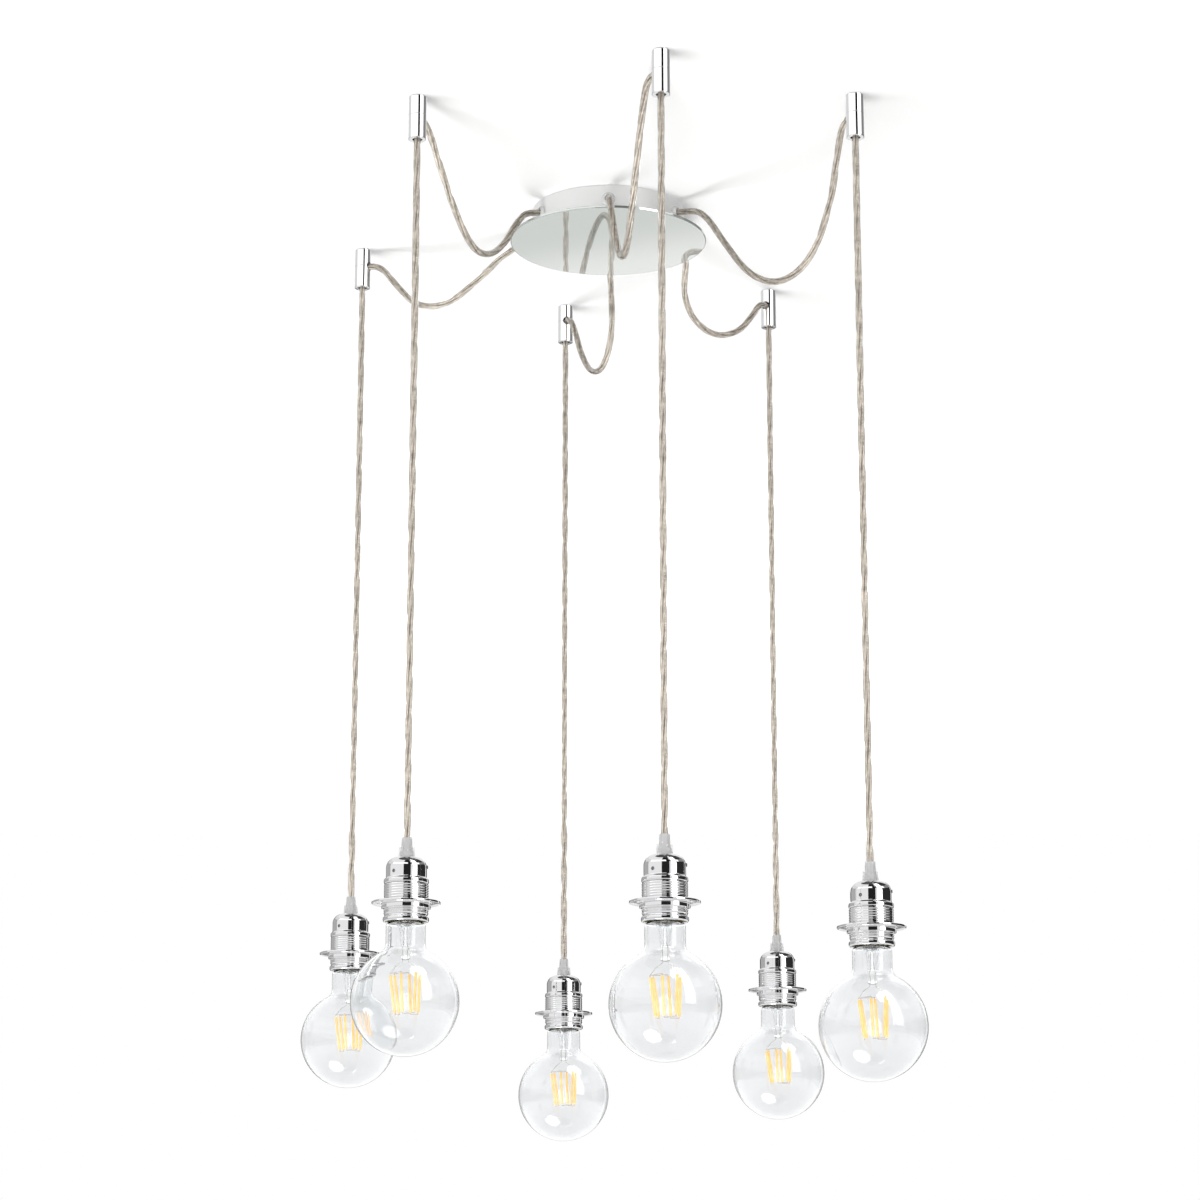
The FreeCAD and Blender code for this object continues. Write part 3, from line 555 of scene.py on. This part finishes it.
def cord(name, points, resolution):
    """The sheath: one smooth spline with the route's points as its control points."""
    curve = bpy.data.curves.new(name, "CURVE")
    curve.dimensions = "3D"
    curve.resolution_u = resolution
    spline = curve.splines.new("NURBS")
    spline.points.add(len(points) - 1)
    for knot, place in zip(spline.points, points):
        knot.co = (*place, 1)
    spline.order_u = 3
    spline.use_endpoint_u = True
    sheath = bpy.data.objects.new(name, curve)
    bpy.context.collection.objects.link(sheath)
    return sheath


def cores(name, sheath):
    """Three cores twisted round the sheath's own line."""
    bpy.context.view_layer.update()
    line = bpy.data.meshes.new_from_object(sheath)
    path = [vertex.co.copy() for vertex in line.vertices]
    bpy.data.meshes.remove(line)
    side = (path[1] - path[0]).orthogonal().normalized()
    frames = []
    run = 0
    for here, (place, after) in enumerate(zip(path, path[1:] + path[-1:])):
        ahead = (after - path[max(here - 1, 0)]).normalized()
        side = (side - ahead * side.dot(ahead)).normalized()
        frames.append((place, side.copy(), ahead.cross(side), run))
        run += (after - place).length
    twisted = bpy.data.curves.new(name, "CURVE")
    twisted.dimensions = "3D"
    twisted.bevel_depth = CORE_RADIUS * MM
    twisted.bevel_resolution = 2
    twisted.use_fill_caps = True
    for core in range(3):
        spline = twisted.splines.new("POLY")
        spline.points.add(len(frames) - 1)
        for knot, (place, across, up, run) in zip(spline.points, frames):
            turn = math.tau * (core / 3 + run / (CORE_LAY * MM))
            out = across * math.cos(turn) + up * math.sin(turn)
            knot.co = (*(place + out * CORE_CIRCLE * MM), 1)
    rope = bpy.data.objects.new(name, twisted)
    bpy.context.collection.objects.link(rope)
    pick(rope)
    bpy.ops.object.convert(target="MESH")
    rope = bpy.context.object
    bpy.ops.object.shade_smooth()
    return rope


for number, (x, y, depth) in enumerate(DROPS):
    label = number + 1
    foot = -(depth + GRIP_DEPTH) * MM
    mouth = -(RETAINER_HEIGHT - 3) * MM
    straight = [(x * MM, y * MM, mouth), (x * MM, y * MM, foot / 2), (x * MM, y * MM, foot)]
    spoke = math.radians(HOLE_ANGLES[number])
    leaving = (0.0815 * math.cos(spoke), 0.0815 * math.sin(spoke), -0.015)
    for kind, points, steps, body, start, length, lay in (
        ("swag", SWAGS[number], 20, "root", leaving, SWAG_LENGTHS[number], "hanging"),
        ("drop", straight, 180, f"lamp_{label}", straight[0], abs(foot - mouth), "taut"),
    ):
        sheath = cord(f"{kind}_sheath_{label}", points, steps)
        rope = cores(f"{kind}_cores_{label}", sheath)
        finish(rope, CORES, body, "cord")
        sheath.data.bevel_depth = CORD_RADIUS * MM
        sheath.data.bevel_resolution = 6
        sheath.data.use_fill_caps = True
        finish(sheath, SHEATH, body, "cord", f"cord_{kind}_{label}")


# Cord grips
# A moulded clear grip screwed into the top of each cap: eight flats that taper upwards, two
# small wings to turn it by, and a spigot through the cap.
GRIP_HEIGHT = 17.5
WING_HEIGHT = 8.5


def on_drops(master, material, body, slot, node=None):
    """Copies of a lamp piece on all six drops, each with its place in its own mesh."""
    for number, (x, y, depth) in enumerate(DROPS):
        copy = master.copy()
        copy.data = master.data.copy()
        bpy.context.collection.objects.link(copy)
        copy.name = f"{master.name}_{number + 1}"
        copy.data.transform(Matrix.Translation((x * MM, y * MM, -depth * MM)))
        nodes = [f"{node}_{number + 1}"] if node else []
        finish(copy, material, f"{body}_{number + 1}", slot, *nodes)
    bpy.data.objects.remove(master)


grip = spun(
    "cord_grip_moulded",
    [(BUSH_BORE, -6), (4.8, -6), (4.8, 0), (6.3, 0), (6.4, 0.4), (6.0, 5.5), (5.4, 6.2)]
    + [(4.7, GRIP_HEIGHT - 0.5), (4.4, GRIP_HEIGHT), (BUSH_BORE, GRIP_HEIGHT)],
    sides=8,
    crease=10,
)
grip.data.transform(Matrix.Rotation(math.radians(22.5), 4, "Z"))
pick(grip)
bevel = grip.modifiers.new("edges", "BEVEL")
bevel.width = 0.25 * MM
bevel.segments = 2
bevel.limit_method = "ANGLE"
bevel.angle_limit = math.radians(25)
bpy.ops.object.modifier_apply(modifier=bevel.name)
wings = []
for side in (-1, 1):
    bpy.ops.object.select_all(action="DESELECT")
    bpy.ops.mesh.primitive_cube_add(size=1)
    wing = bpy.context.object
    wing.data.transform(Matrix.Diagonal((2.6 * MM, 1.5 * MM, WING_HEIGHT * MM, 1)))
    for corner in wing.data.vertices:
        if corner.co.z > 0:
            corner.co.x -= 0.6 * MM * side
    wing.data.transform(Matrix.Translation((5.9 * MM * side, 0, (WING_HEIGHT / 2 + 0.2) * MM)))
    wings.append(wing)
drill(grip, wings, kind="UNION", crease=20)
GRIP_PLASTIC = finish_of(
    "frosted clear plastic",
    (0.96, 0.96, 0.965),
    (0.92, 0.92, 0.925),
    (0.12, 0.28),
    180,
    0.06,
    Transmission_Weight=0.45,
    IOR=1.45,
)
on_drops(grip, GRIP_PLASTIC, "lamp", "clear_plastic", "cord_grip")


# Lampholder caps
# A steel dome, deep drawn and chromed, with a rolled bead at its lower edge. Two small locking
# screws through its side bear on the ceramic: one sunk at the left front, one proud at the right.
CAP_RADIUS = 18
DOME = 9.5
cap = spun(
    "holder_cap_chromed",
    [(5.1, -0.8), (5.1, -0.15), (5.3, 0)]
    + bend(CAP_RADIUS - DOME, -DOME, DOME, 90, 0, 18)
    + [(18, -14), (18, -17.6), (18.1, -18.2), (18.45, -18.75), (19.1, -19.15), (19.6, -19.75)]
    + [(19.8, -20.5), (19.8, -22.3), (19.65, -22.9), (19.35, -23.3), (19.05, -23.5)]
    + [(18.95, -23.4), (18.95, -20.5), (17.2, -18.9), (17.2, -14)]
    + bend(CAP_RADIUS - DOME, -DOME, DOME - 0.8, 0, 90, 12),
    sides=128,
)
SCREWS = [(-125, 13.6, 17.2), (-8, 9, 18.9)]
spots = []
for angle, depth, out in SCREWS:
    across = Vector((math.cos(math.radians(angle)), math.sin(math.radians(angle)), 0))
    spots.append((across, Vector((0, 0, -depth)), out))
drill(cap, [rod(1.65, a * 10 + low, a * 24 + low, sides=24) for a, low, out in spots])
on_drops(cap, CHROME, "lamp", "chrome", "holder_cap")
screws = []
for across, low, out in spots:
    screw = rod(1.5, across * 16.6 + low, across * out + low, sides=24)
    pick(screw)
    bevel = screw.modifiers.new("edges", "BEVEL")
    bevel.width = 0.2 * MM
    bevel.segments = 2
    bpy.ops.object.modifier_apply(modifier=bevel.name)
    slit = rod(0.28, across * (out - 0.5) + low + Vector((0, 0, -2)),
               across * (out - 0.5) + low + Vector((0, 0, 2)), sides=4)
    drill(screw, [slit])
    screws.append(screw)
STEEL = finish_of(
    "dark steel screws", (0.30, 0.30, 0.31), (0.22, 0.22, 0.23), (0.25, 0.4), 300, 0.2, Metallic=1
)
for name, screw in zip(("lock_screw_sunk", "lock_screw_proud"), screws):
    screw.name = name
    on_drops(screw, STEEL, "lamp", "chrome")


# Threaded shells
# Chromed steel shell with a rolled thread from under the bead to the rim, and a rolled rim. The
# plating stops at the rim: inside, the shell shows its yellow passivated metal.
THREAD_TOP = 24.1
THREAD_PITCH = 2.2
THREADS = 12
RIDGE = [(19.25, 0), (19.3, 0.3), (19.5, 0.75), (19.6, 1.1), (19.5, 1.45), (19.3, 1.9)]
thread = [
    (radius, -THREAD_TOP - THREAD_PITCH * turn - drop)
    for turn in range(THREADS)
    for radius, drop in RIDGE
]
shell = spun(
    "holder_shell_chromed",
    [(18, -21), (18.7, -21), (18.7, -23.7)]
    + thread
    + [(18.9, -50.7), (18.9, -52.2), (19.15, -52.5), (19.7, -52.8), (20.08, -53.3), (20.2, -54)]
    + [(20.2, -55.3), (20.05, -56.1), (19.7, -56.7), (19.2, -56.98), (18.75, -56.95)]
    + [(18.3, -56.6), (18.05, -56.0), (18, -55.2)],
    sides=128,
    crease=50,
)
BRASS = finish_of(
    "dull brass", (0.72, 0.60, 0.22), (0.58, 0.48, 0.17), (0.22, 0.4), 120, 0.1, Metallic=1
)
shell.data.materials.append(CHROME)
shell.data.materials.append(BRASS)
for polygon in shell.data.polygons:
    middle = polygon.center
    if math.hypot(middle.x, middle.y) < 18.2 * MM and middle.z > -55.5 * MM:
        polygon.material_index = 1
on_drops(shell, None, "lamp", "chrome", "holder_shell")


# Shade rings
# A pressed, chromed ring that screws onto the shell. Its wide flange holds a shade, and it has
# a collar below to turn it by, a rolled edge and two small holes.
ring = spun(
    "shade_ring_chromed",
    [(19.9, -38.7), (20.2, -38.4), (21.2, -38.4), (21.6, -38.55), (22.1, -38.9), (22.9, -39.1)]
    + [(29.2, -39.1), (29.8, -39.2), (30.2, -39.5), (30.3, -39.9), (30.3, -40.7)]
    + [(30.15, -41.05), (29.85, -41.2), (29.5, -41.1), (29.1, -40.75), (28.5, -40.5)]
    + [(22.6, -40.5), (21.95, -40.65), (21.65, -41.1), (21.6, -41.7), (21.6, -44.8)]
    + [(21.45, -45.25), (21.1, -45.5), (20.5, -45.5), (20.1, -45.35), (19.9, -45.0)],
    sides=128,
)
drill(
    ring,
    [rod(1.5, (side * 24.5, 0, -36), (side * 24.5, 0, -44), sides=24) for side in (-1, 1)],
)
on_drops(ring, CHROME, "ring", "chrome", "shade_ring")


# Inserts
# Glazed ceramic body with a skirt, a brass screw shell riveted under it, a sprung centre contact
# and two terminal screws on top. It drops into the shell before the cap goes on.
ceramic = spun(
    "insert_ceramic",
    [(3.5, -7.5), (15.6, -7.5), (16.2, -7.8), (16.4, -8.4), (16.4, -36.3), (16.2, -36.8)]
    + [(15.7, -37), (14.6, -37), (14.3, -36.7), (14.3, -27), (3.5, -27)],
    sides=64,
)
CERAMIC = finish_of(
    "glazed ceramic", (0.82, 0.80, 0.75), (0.77, 0.75, 0.69), (0.12, 0.25), 80, 0.04
)
on_drops(ceramic, CERAMIC, "lamp", "ceramic", "holder_insert")
waves = [
    (13.75 - 0.2 * math.cos(step * math.tau / 8), -29.5 - step * 3.62 / 8) for step in range(53)
]
brass_shell = spun(
    "insert_screw_shell",
    [(7, -27.1), (13.7, -27.1), (14.0, -27.6), (14.0, -29.2)]
    + [(radius + 0.1, height) for radius, height in waves]
    + [(14.1, -54.2), (14.2, -54.9), (13.9, -55.0), (13.7, -54.2)]
    + [(radius - 0.18, height) for radius, height in reversed(waves)]
    + [(13.5, -28.2), (13.2, -27.6), (7, -27.6)],
    sides=64,
    crease=50,
)
on_drops(brass_shell, BRASS, "lamp", "ceramic")
contact = spun(
    "insert_contact",
    [(AXIS, -7.8), (2.6, -7.8), (3, -8.2), (3, -32.2), (2.6, -32.7), (AXIS, -32.7)],
    sides=32,
    closed=False,
)
on_drops(contact, BRASS, "lamp", "ceramic")
for side, name in ((-1, "insert_terminal_left"), (1, "insert_terminal_right")):
    terminal = spun(
        name,
        [(AXIS, -5.9), (1.8, -5.9), (2.3, -6.2), (2.4, -6.7), (2.4, -7.5), (AXIS, -7.5)],
        sides=24,
        closed=False,
    )
    terminal.data.transform(Matrix.Translation((9 * side * MM, 0, 0)))
    drill(terminal, [rod(0.3, (9 * side, -3, -5.9), (9 * side, 3, -5.9), sides=4)])
    on_drops(terminal, BRASS, "lamp", "ceramic")


# Bulb glass
# Clear blown glass, a 95 mm globe with a straight neck. The neck closes onto the flare of the
# stem inside the holder.
GLOBE_RADIUS = 47.5
GLOBE_HEIGHT = -126
NECK_RADIUS = 17.4
THROAT = 9
GLASS = 0.9
reach = GLOBE_RADIUS + THROAT
throat_out = NECK_RADIUS + THROAT
throat_rise = math.sqrt(reach**2 - throat_out**2)
meets = math.degrees(math.atan2(throat_rise, throat_out))
globe = spun(
    "bulb_glass_blown",
    [(11.8, -57.0)]
    + bend(NECK_RADIUS - 4, -61, 4, 90, 0, 8)
    + [(NECK_RADIUS, -66), (NECK_RADIUS, -71)]
    + bend(throat_out, GLOBE_HEIGHT + throat_rise, THROAT, 180, 180 + meets, 8)
    + bend(0, GLOBE_HEIGHT, GLOBE_RADIUS, meets, -89.99, 56)[1:],
    sides=128,
    closed=False,
    crease=60,
)
pick(globe)
wall = globe.modifiers.new("wall", "SOLIDIFY")
wall.thickness = GLASS * MM
wall.offset = -1
bpy.ops.object.modifier_apply(modifier=wall.name)
bpy.ops.object.shade_smooth_by_angle(angle=math.radians(60))
BULB_GLASS = finish_of(
    "blown clear glass",
    (0.915, 0.922, 0.928),
    (0.895, 0.904, 0.91),
    (0.0, 0.012),
    20,
    0.0,
    Transmission_Weight=1,
    IOR=1.48,
)
on_drops(globe, BULB_GLASS, "bulb", "bulb_glass", "bulb_globe")


# Bulb cap
# Nickelled screw cap crimped to the neck, a black glass insulator and a soldered centre contact,
# all up inside the holder.
BASE_TOP = -37.3
BASE_PITCH = 3.62
coils = [
    (12.72 - 0.42 * math.cos(step * math.tau / 8), BASE_TOP - 1.2 - step * BASE_PITCH / 8)
    for step in range(33)
]
screw_cap = spun(
    "bulb_screw_cap",
    [(6.6, BASE_TOP + 1), (7.2, BASE_TOP + 1), (11.6, BASE_TOP - 0.6)]
    + coils
    + [(12.9, -53.6), (13.15, -54.2), (13.15, -56.85), (11.9, -56.85), (11.9, -38.6), (6.6, -37.4)],
    sides=96,
    crease=50,
)
NICKEL = finish_of(
    "nickelled cap", (0.66, 0.65, 0.62), (0.58, 0.57, 0.54), (0.15, 0.3), 120, 0.06, Metallic=1
)
on_drops(screw_cap, NICKEL, "bulb", "bulb_cap", "bulb_core")
insulator = spun(
    "bulb_insulator",
    [(AXIS, -34.3), (5.2, -34.3), (6.3, -35.0), (6.6, -36.2), (6.6, -37.3), (AXIS, -37.3)],
    sides=48,
    closed=False,
)
BLACK_GLASS = finish_of(
    "black glass", (0.02, 0.02, 0.022), (0.012, 0.012, 0.014), (0.08, 0.2), 150, 0.05
)
on_drops(insulator, BLACK_GLASS, "bulb", "bulb_cap")
solder = spun(
    "bulb_solder_contact",
    [(AXIS, -33.0), (2.6, -33.15), (4.2, -33.6), (4.8, -34.3), (AXIS, -34.3)],
    sides=48,
    closed=False,
)
on_drops(solder, NICKEL, "bulb", "bulb_cap")


# Stem and pinch
# A clear glass tube flared to the neck at one end and pressed flat round the lead wires at the
# other. The thin exhaust tube inside it is not drawn.
stem = spun(
    "bulb_stem",
    [(11.6, -57.4), (9.4, -58.6), (7.2, -60.6), (5.6, -63.4), (4.7, -67), (4.4, -71)]
    + [(4.4, -75.5), (4.1, -77.5)],
    sides=64,
    closed=False,
    crease=60,
)
STEM_GLASS = finish_of(
    "stem glass",
    (0.97, 0.975, 0.98),
    (0.95, 0.955, 0.96),
    (0.0, 0.03),
    200,
    0.3,
    Transmission_Weight=1,
    IOR=1.48,
)
pick(stem)
wall = stem.modifiers.new("wall", "SOLIDIFY")
wall.thickness = GLASS * MM
wall.offset = -1
bpy.ops.object.modifier_apply(modifier=wall.name)
bpy.ops.object.shade_smooth_by_angle(angle=math.radians(60))
on_drops(stem, STEM_GLASS, "bulb", "bulb_cap")
bpy.ops.object.select_all(action="DESELECT")
bpy.ops.mesh.primitive_uv_sphere_add(segments=32, ring_count=20, radius=1)
pinch = bpy.context.object
pinch.name = "bulb_pinch"
for vertex in pinch.data.vertices:
    across, through, rise = vertex.co
    waist = 1 - 0.18 * math.cos(rise * math.pi)
    vertex.co = (
        math.copysign(abs(across) ** 0.6, across) * 4.6 * waist * MM,
        math.copysign(abs(through) ** 0.8, through) * 1.9 * MM,
        (-83.2 + math.copysign(abs(rise) ** 0.75, rise) * 6.8) * MM,
    )
pick(pinch)
bpy.ops.object.shade_smooth()
on_drops(pinch, STEM_GLASS, "bulb", "bulb_cap")


# Filaments
# Six coated strips stand in a cage that narrows downwards. Fine wires join their ends and hang
# the cage from the pinch.
TOP = -101
FOOT = -137
TOP_CIRCLE = 13.5
FOOT_CIRCLE = 10
FOOT_SHIFT = 1.8
STAGGER = [0.0, 1.5, 0.3, -1.2, -0.4, 1.0]
TWIST = math.radians(5)
START = math.radians(13)
# The coating also glows faintly amber. This is painted glow: the bulbs are not lit and light
# nothing.
FILAMENT = finish_of(
    "amber filament coating",
    (1.0, 0.74, 0.34),
    (0.93, 0.40, 0.07),
    (0.4, 0.6),
    90,
    0.1,
    Emission_Color=(1.0, 0.60, 0.18, 1),
    Emission_Strength=0.42,
)
strips = []
ends = []
for number in range(6):
    angle = START + number * math.tau / 6
    head = Vector((
        TOP_CIRCLE * math.cos(angle + TWIST),
        TOP_CIRCLE * math.sin(angle + TWIST),
        TOP + STAGGER[number],
    ))
    tail = Vector((
        FOOT_SHIFT + FOOT_CIRCLE * math.cos(angle),
        FOOT_CIRCLE * math.sin(angle),
        FOOT + STAGGER[number] * 0.6,
    ))
    along = (tail - head).normalized()
    strip = rod(1.25, head + along * 1.5, tail - along * 1.5, sides=16)
    pick(strip)
    bevel = strip.modifiers.new("edges", "BEVEL")
    bevel.width = 0.4 * MM
    bevel.segments = 2
    bpy.ops.object.modifier_apply(modifier=bevel.name)
    bpy.ops.object.shade_smooth_by_angle(angle=math.radians(40))
    strips.append(strip)
    ends.append((head, tail))
bpy.ops.object.select_all(action="DESELECT")
for strip in strips:
    strip.select_set(True)
bpy.context.view_layer.objects.active = strips[0]
bpy.ops.object.join()
strips = bpy.context.object
strips.name = "bulb_filaments"
on_drops(strips, FILAMENT, "bulb", "bulb_cap")

wire_runs = []
for number, (head, tail) in enumerate(ends):
    along = (tail - head).normalized()
    wire_runs.append([head - along * 0.3, head + along * 2])
    wire_runs.append([tail - along * 2, tail + along * 0.3])
for first, second in ((0, 1), (2, 3), (4, 5)):
    wire_runs.append([ends[first][1], ends[second][1]])
for first, second in ((1, 2), (3, 4)):
    wire_runs.append([ends[first][0], ends[second][0]])
for side, end in ((-1, 3), (1, 0)):
    wire_runs.append([
        Vector((side * 1.3, 0, -62)),
        Vector((side * 1.5, 0, -76)),
        Vector((side * 2.4, 0.4, -81)),
        Vector((side * 1.9, -0.4, -86)),
        Vector((side * 2.6, 0, -91.5)),
        (Vector((side * 2.6, 0, -91.5)) + ends[end][0]) / 2 + Vector((0, 0, 1.5)),
        ends[end][0],
    ])
curve = bpy.data.curves.new("bulb_wires", "CURVE")
curve.dimensions = "3D"
curve.bevel_depth = 0.4 * MM
curve.bevel_resolution = 1
curve.use_fill_caps = True
for run in wire_runs:
    spline = curve.splines.new("POLY")
    spline.points.add(len(run) - 1)
    for knot, place in zip(spline.points, run):
        knot.co = (*(place * MM), 1)
wires = bpy.data.objects.new("bulb_wires", curve)
bpy.context.collection.objects.link(wires)
pick(wires)
bpy.ops.object.convert(target="MESH")
wires = bpy.context.object
on_drops(wires, NICKEL, "bulb", "bulb_cap")


# Room
# White ceiling, which the rose and the retainers are fixed to, and pale floor. Each is see-through
# from its far side, so the lamp can be looked at from there too. White all round.
def stage_plane(name, size, height):
    bpy.ops.object.select_all(action="DESELECT")
    bpy.ops.mesh.primitive_plane_add(size=size, location=(0, 0, height))
    plane = bpy.context.object
    plane.name = name
    return plane


def white_room(material, near, far, reflected):
    """Plain white added where it is seen, through glass too, and nothing at all from behind."""
    nodes, links = material.node_tree.nodes, material.node_tree.links
    shader = nodes["Principled BSDF"]
    light_path = nodes.new("ShaderNodeLightPath")
    place = nodes.new("ShaderNodeTexCoord")
    out = nodes.new("ShaderNodeVectorMath")
    out.operation = "LENGTH"
    rise = nodes.new("ShaderNodeMapRange")
    rise.inputs["From Min"].default_value = 0.55
    rise.inputs["From Max"].default_value = 1.6
    rise.inputs["To Min"].default_value = near
    rise.inputs["To Max"].default_value = far
    straight = nodes.new("ShaderNodeMath")
    straight.operation = "MAXIMUM"
    seen = nodes.new("ShaderNodeMath")
    seen.operation = "MULTIPLY"
    mirrored = nodes.new("ShaderNodeMath")
    mirrored.operation = "MULTIPLY"
    mirrored.inputs[1].default_value = reflected
    both = nodes.new("ShaderNodeMath")
    both.operation = "MAXIMUM"
    shader.inputs["Emission Color"].default_value = (1, 1, 1, 1)
    links.new(place.outputs["Object"], out.inputs[0])
    links.new(out.outputs["Value"], rise.inputs["Value"])
    links.new(light_path.outputs["Is Camera Ray"], straight.inputs[0])
    links.new(light_path.outputs["Is Transmission Ray"], straight.inputs[1])
    links.new(straight.outputs["Value"], seen.inputs[0])
    links.new(rise.outputs["Result"], seen.inputs[1])
    links.new(light_path.outputs["Is Glossy Ray"], mirrored.inputs[0])
    links.new(seen.outputs["Value"], both.inputs[0])
    links.new(mirrored.outputs["Value"], both.inputs[1])
    links.new(both.outputs["Value"], shader.inputs["Emission Strength"])
    behind = nodes.new("ShaderNodeNewGeometry")
    clear = nodes.new("ShaderNodeBsdfTransparent")
    mix = nodes.new("ShaderNodeMixShader")
    links.new(behind.outputs["Backfacing"], mix.inputs["Fac"])
    links.new(shader.outputs["BSDF"], mix.inputs[1])
    links.new(clear.outputs["BSDF"], mix.inputs[2])
    links.new(mix.outputs["Shader"], nodes["Material Output"].inputs["Surface"])


ceiling = stage_plane("room_ceiling", 8, 0.0004)
bpy.ops.object.mode_set(mode="EDIT")
bpy.ops.mesh.select_all(action="SELECT")
bpy.ops.mesh.flip_normals()
bpy.ops.object.mode_set(mode="OBJECT")
CEILING = bpy.data.materials.new("ceiling paint")
CEILING.use_nodes = True
nodes, links = CEILING.node_tree.nodes, CEILING.node_tree.links
shader = nodes["Principled BSDF"]
shader.inputs["Base Color"].default_value = (0.9, 0.9, 0.9, 1)
shader.inputs["Roughness"].default_value = 0.9
white_room(CEILING, 0.08, 0.7, 0)
ceiling.data.materials.append(CEILING)
ceiling.visible_glossy = False
ceiling.visible_diffuse = False

floor = stage_plane("room_floor", 12, -1.7)
FLOOR = bpy.data.materials.new("pale floor")
FLOOR.use_nodes = True
FLOOR.node_tree.nodes["Principled BSDF"].inputs["Base Color"].default_value = (0.85, 0.85, 0.84, 1)
FLOOR.node_tree.nodes["Principled BSDF"].inputs["Roughness"].default_value = 0.9
white_room(FLOOR, 0.5, 1.0, 0.4)
floor.data.materials.append(FLOOR)

world = bpy.data.worlds.new("white room")
bpy.context.scene.world = world
world.use_nodes = True
nodes, links = world.node_tree.nodes, world.node_tree.links
background = nodes["Background"]
light_path = nodes.new("ShaderNodeLightPath")
seen = nodes.new("ShaderNodeMath")
seen.operation = "MAXIMUM"
also = nodes.new("ShaderNodeMath")
also.operation = "MAXIMUM"
level = nodes.new("ShaderNodeMapRange")
level.inputs["To Min"].default_value = 0.63
level.inputs["To Max"].default_value = 1.0
links.new(light_path.outputs["Is Camera Ray"], seen.inputs[0])
links.new(light_path.outputs["Is Glossy Ray"], seen.inputs[1])
links.new(seen.outputs["Value"], also.inputs[0])
links.new(light_path.outputs["Is Transmission Ray"], also.inputs[1])
links.new(also.outputs["Value"], level.inputs["Value"])
links.new(level.outputs["Result"], background.inputs["Strength"])
background.inputs["Color"].default_value = (1, 1, 1, 1)

# Reflection cards
# Studio cards that only reflections see, bent round the lamp like a tent: azimuth from the
# front to the right, then elevation, in degrees. They draw the bands in the chrome.
TENT_RADIUS = 4.0
TENT_HEIGHT = -0.55
CARDS = [
    ("card_front", -15, 23, -40, 21, 0.02),
    ("card_front_top", -15, 23, 36, 100, 0.02),
    ("card_right", 62, 134, -40, 21, 0.03),
    ("card_right_top", 66, 130, 36, 62, 0.05),
    ("card_left", -150, -95, -40, 21, 0.5),
    ("card_low_left", -95, -15, -40, -6, 0.5),
    ("card_low_middle", 23, 62, -40, -6, 0.6),
    ("card_low_black", -95, 134, -60, -40, 0.03),
    ("card_low_grey", -95, 134, -86, -60, 0.1),
    ("card_top_grey", -180, 180, 62, 88, 0.1),
    ("card_back_grey", 165, 195, -11.7, 6, 0.35),
    ("card_back_black_right", 145, 165, -40, 21, 0.03),
    ("card_back_black_left", 195, 210, -40, 21, 0.03),
    ("card_upper_black", 7, 30, 21, 36, 0.01),
    ("card_upper_grey", 80, 140, 21, 36, 0.28),
    ("card_upper_left", -160, -85, 21, 36, 0.85),
    ("card_upper_white", -85, 7, 21, 36, 1.5),
    ("card_upper_white_right", 60, 80, 21, 36, 1.5),
    ("softbox_right", 36, 58, -6, 76, 5.0),
]
for name, left, right, low, high, brightness in CARDS:
    bpy.ops.object.select_all(action="DESELECT")
    bpy.ops.mesh.primitive_grid_add(x_subdivisions=16, y_subdivisions=16, size=1)
    card = bpy.context.object
    card.name = name
    for corner in card.data.vertices:
        across = math.radians(left + (right - left) * (corner.co.x + 0.5))
        rise = math.radians(low + (high - low) * (corner.co.y + 0.5))
        corner.co = (
            TENT_RADIUS * math.cos(rise) * math.sin(across),
            -TENT_RADIUS * math.cos(rise) * math.cos(across),
            TENT_HEIGHT + TENT_RADIUS * math.sin(rise),
        )
    paper = bpy.data.materials.new(name)
    paper.use_nodes = True
    shader = paper.node_tree.nodes["Principled BSDF"]
    shader.inputs["Base Color"].default_value = (0, 0, 0, 1)
    shader.inputs["Specular IOR Level"].default_value = 0
    shader.inputs["Emission Color"].default_value = (1, 1, 1, 1)
    shader.inputs["Emission Strength"].default_value = brightness
    card.data.materials.append(paper)
    card.visible_camera = False
    card.visible_diffuse = False
    card.visible_transmission = False
    card.visible_shadow = False
    card.visible_volume_scatter = False

# Lamps
# A broad soft lamp from below left, which throws the short shadows on the ceiling, and a weaker
# one from the front. Neither shows in reflections, and both reach the drum past the disc.
floor.visible_shadow = False
for name, toward, spread, strength in (
    ("key_below_left", (0.42, 0.2, 1.0), 30, 1.85),
    ("fill_front", (0.1, 1.0, 0.12), 40, 1.1),
):
    lamp_data = bpy.data.lights.new(name, "SUN")
    lamp_data.angle = math.radians(spread)
    lamp_data.energy = strength
    lamp = bpy.data.objects.new(name, lamp_data)
    lamp.rotation_euler = Vector(toward).to_track_quat("-Z", "Y").to_euler()
    lamp.visible_glossy = False
    bpy.context.collection.objects.link(lamp)
    open_to_light = bpy.data.collections.new(f"{name}_passes")
    open_to_light.objects.link(disc)
    open_to_light.collection_objects[0].light_linking.link_state = "EXCLUDE"
    lamp.light_linking.blocker_collection = open_to_light

# Camera
# Three metres in front of the rose and a little above bulb height, looking up at the ceiling.
camera_data = bpy.data.cameras.new("camera")
camera_data.lens = 93
camera_data.sensor_width = 36
camera_data.clip_end = 50
camera = bpy.data.objects.new("camera", camera_data)
camera.location = (-0.0085, -3.0, -1.124)
camera.rotation_euler = (math.radians(90 + 13.41), 0, 0)
bpy.context.collection.objects.link(camera)
bpy.context.scene.camera = camera
bpy.context.scene.view_settings.view_transform = "Standard"
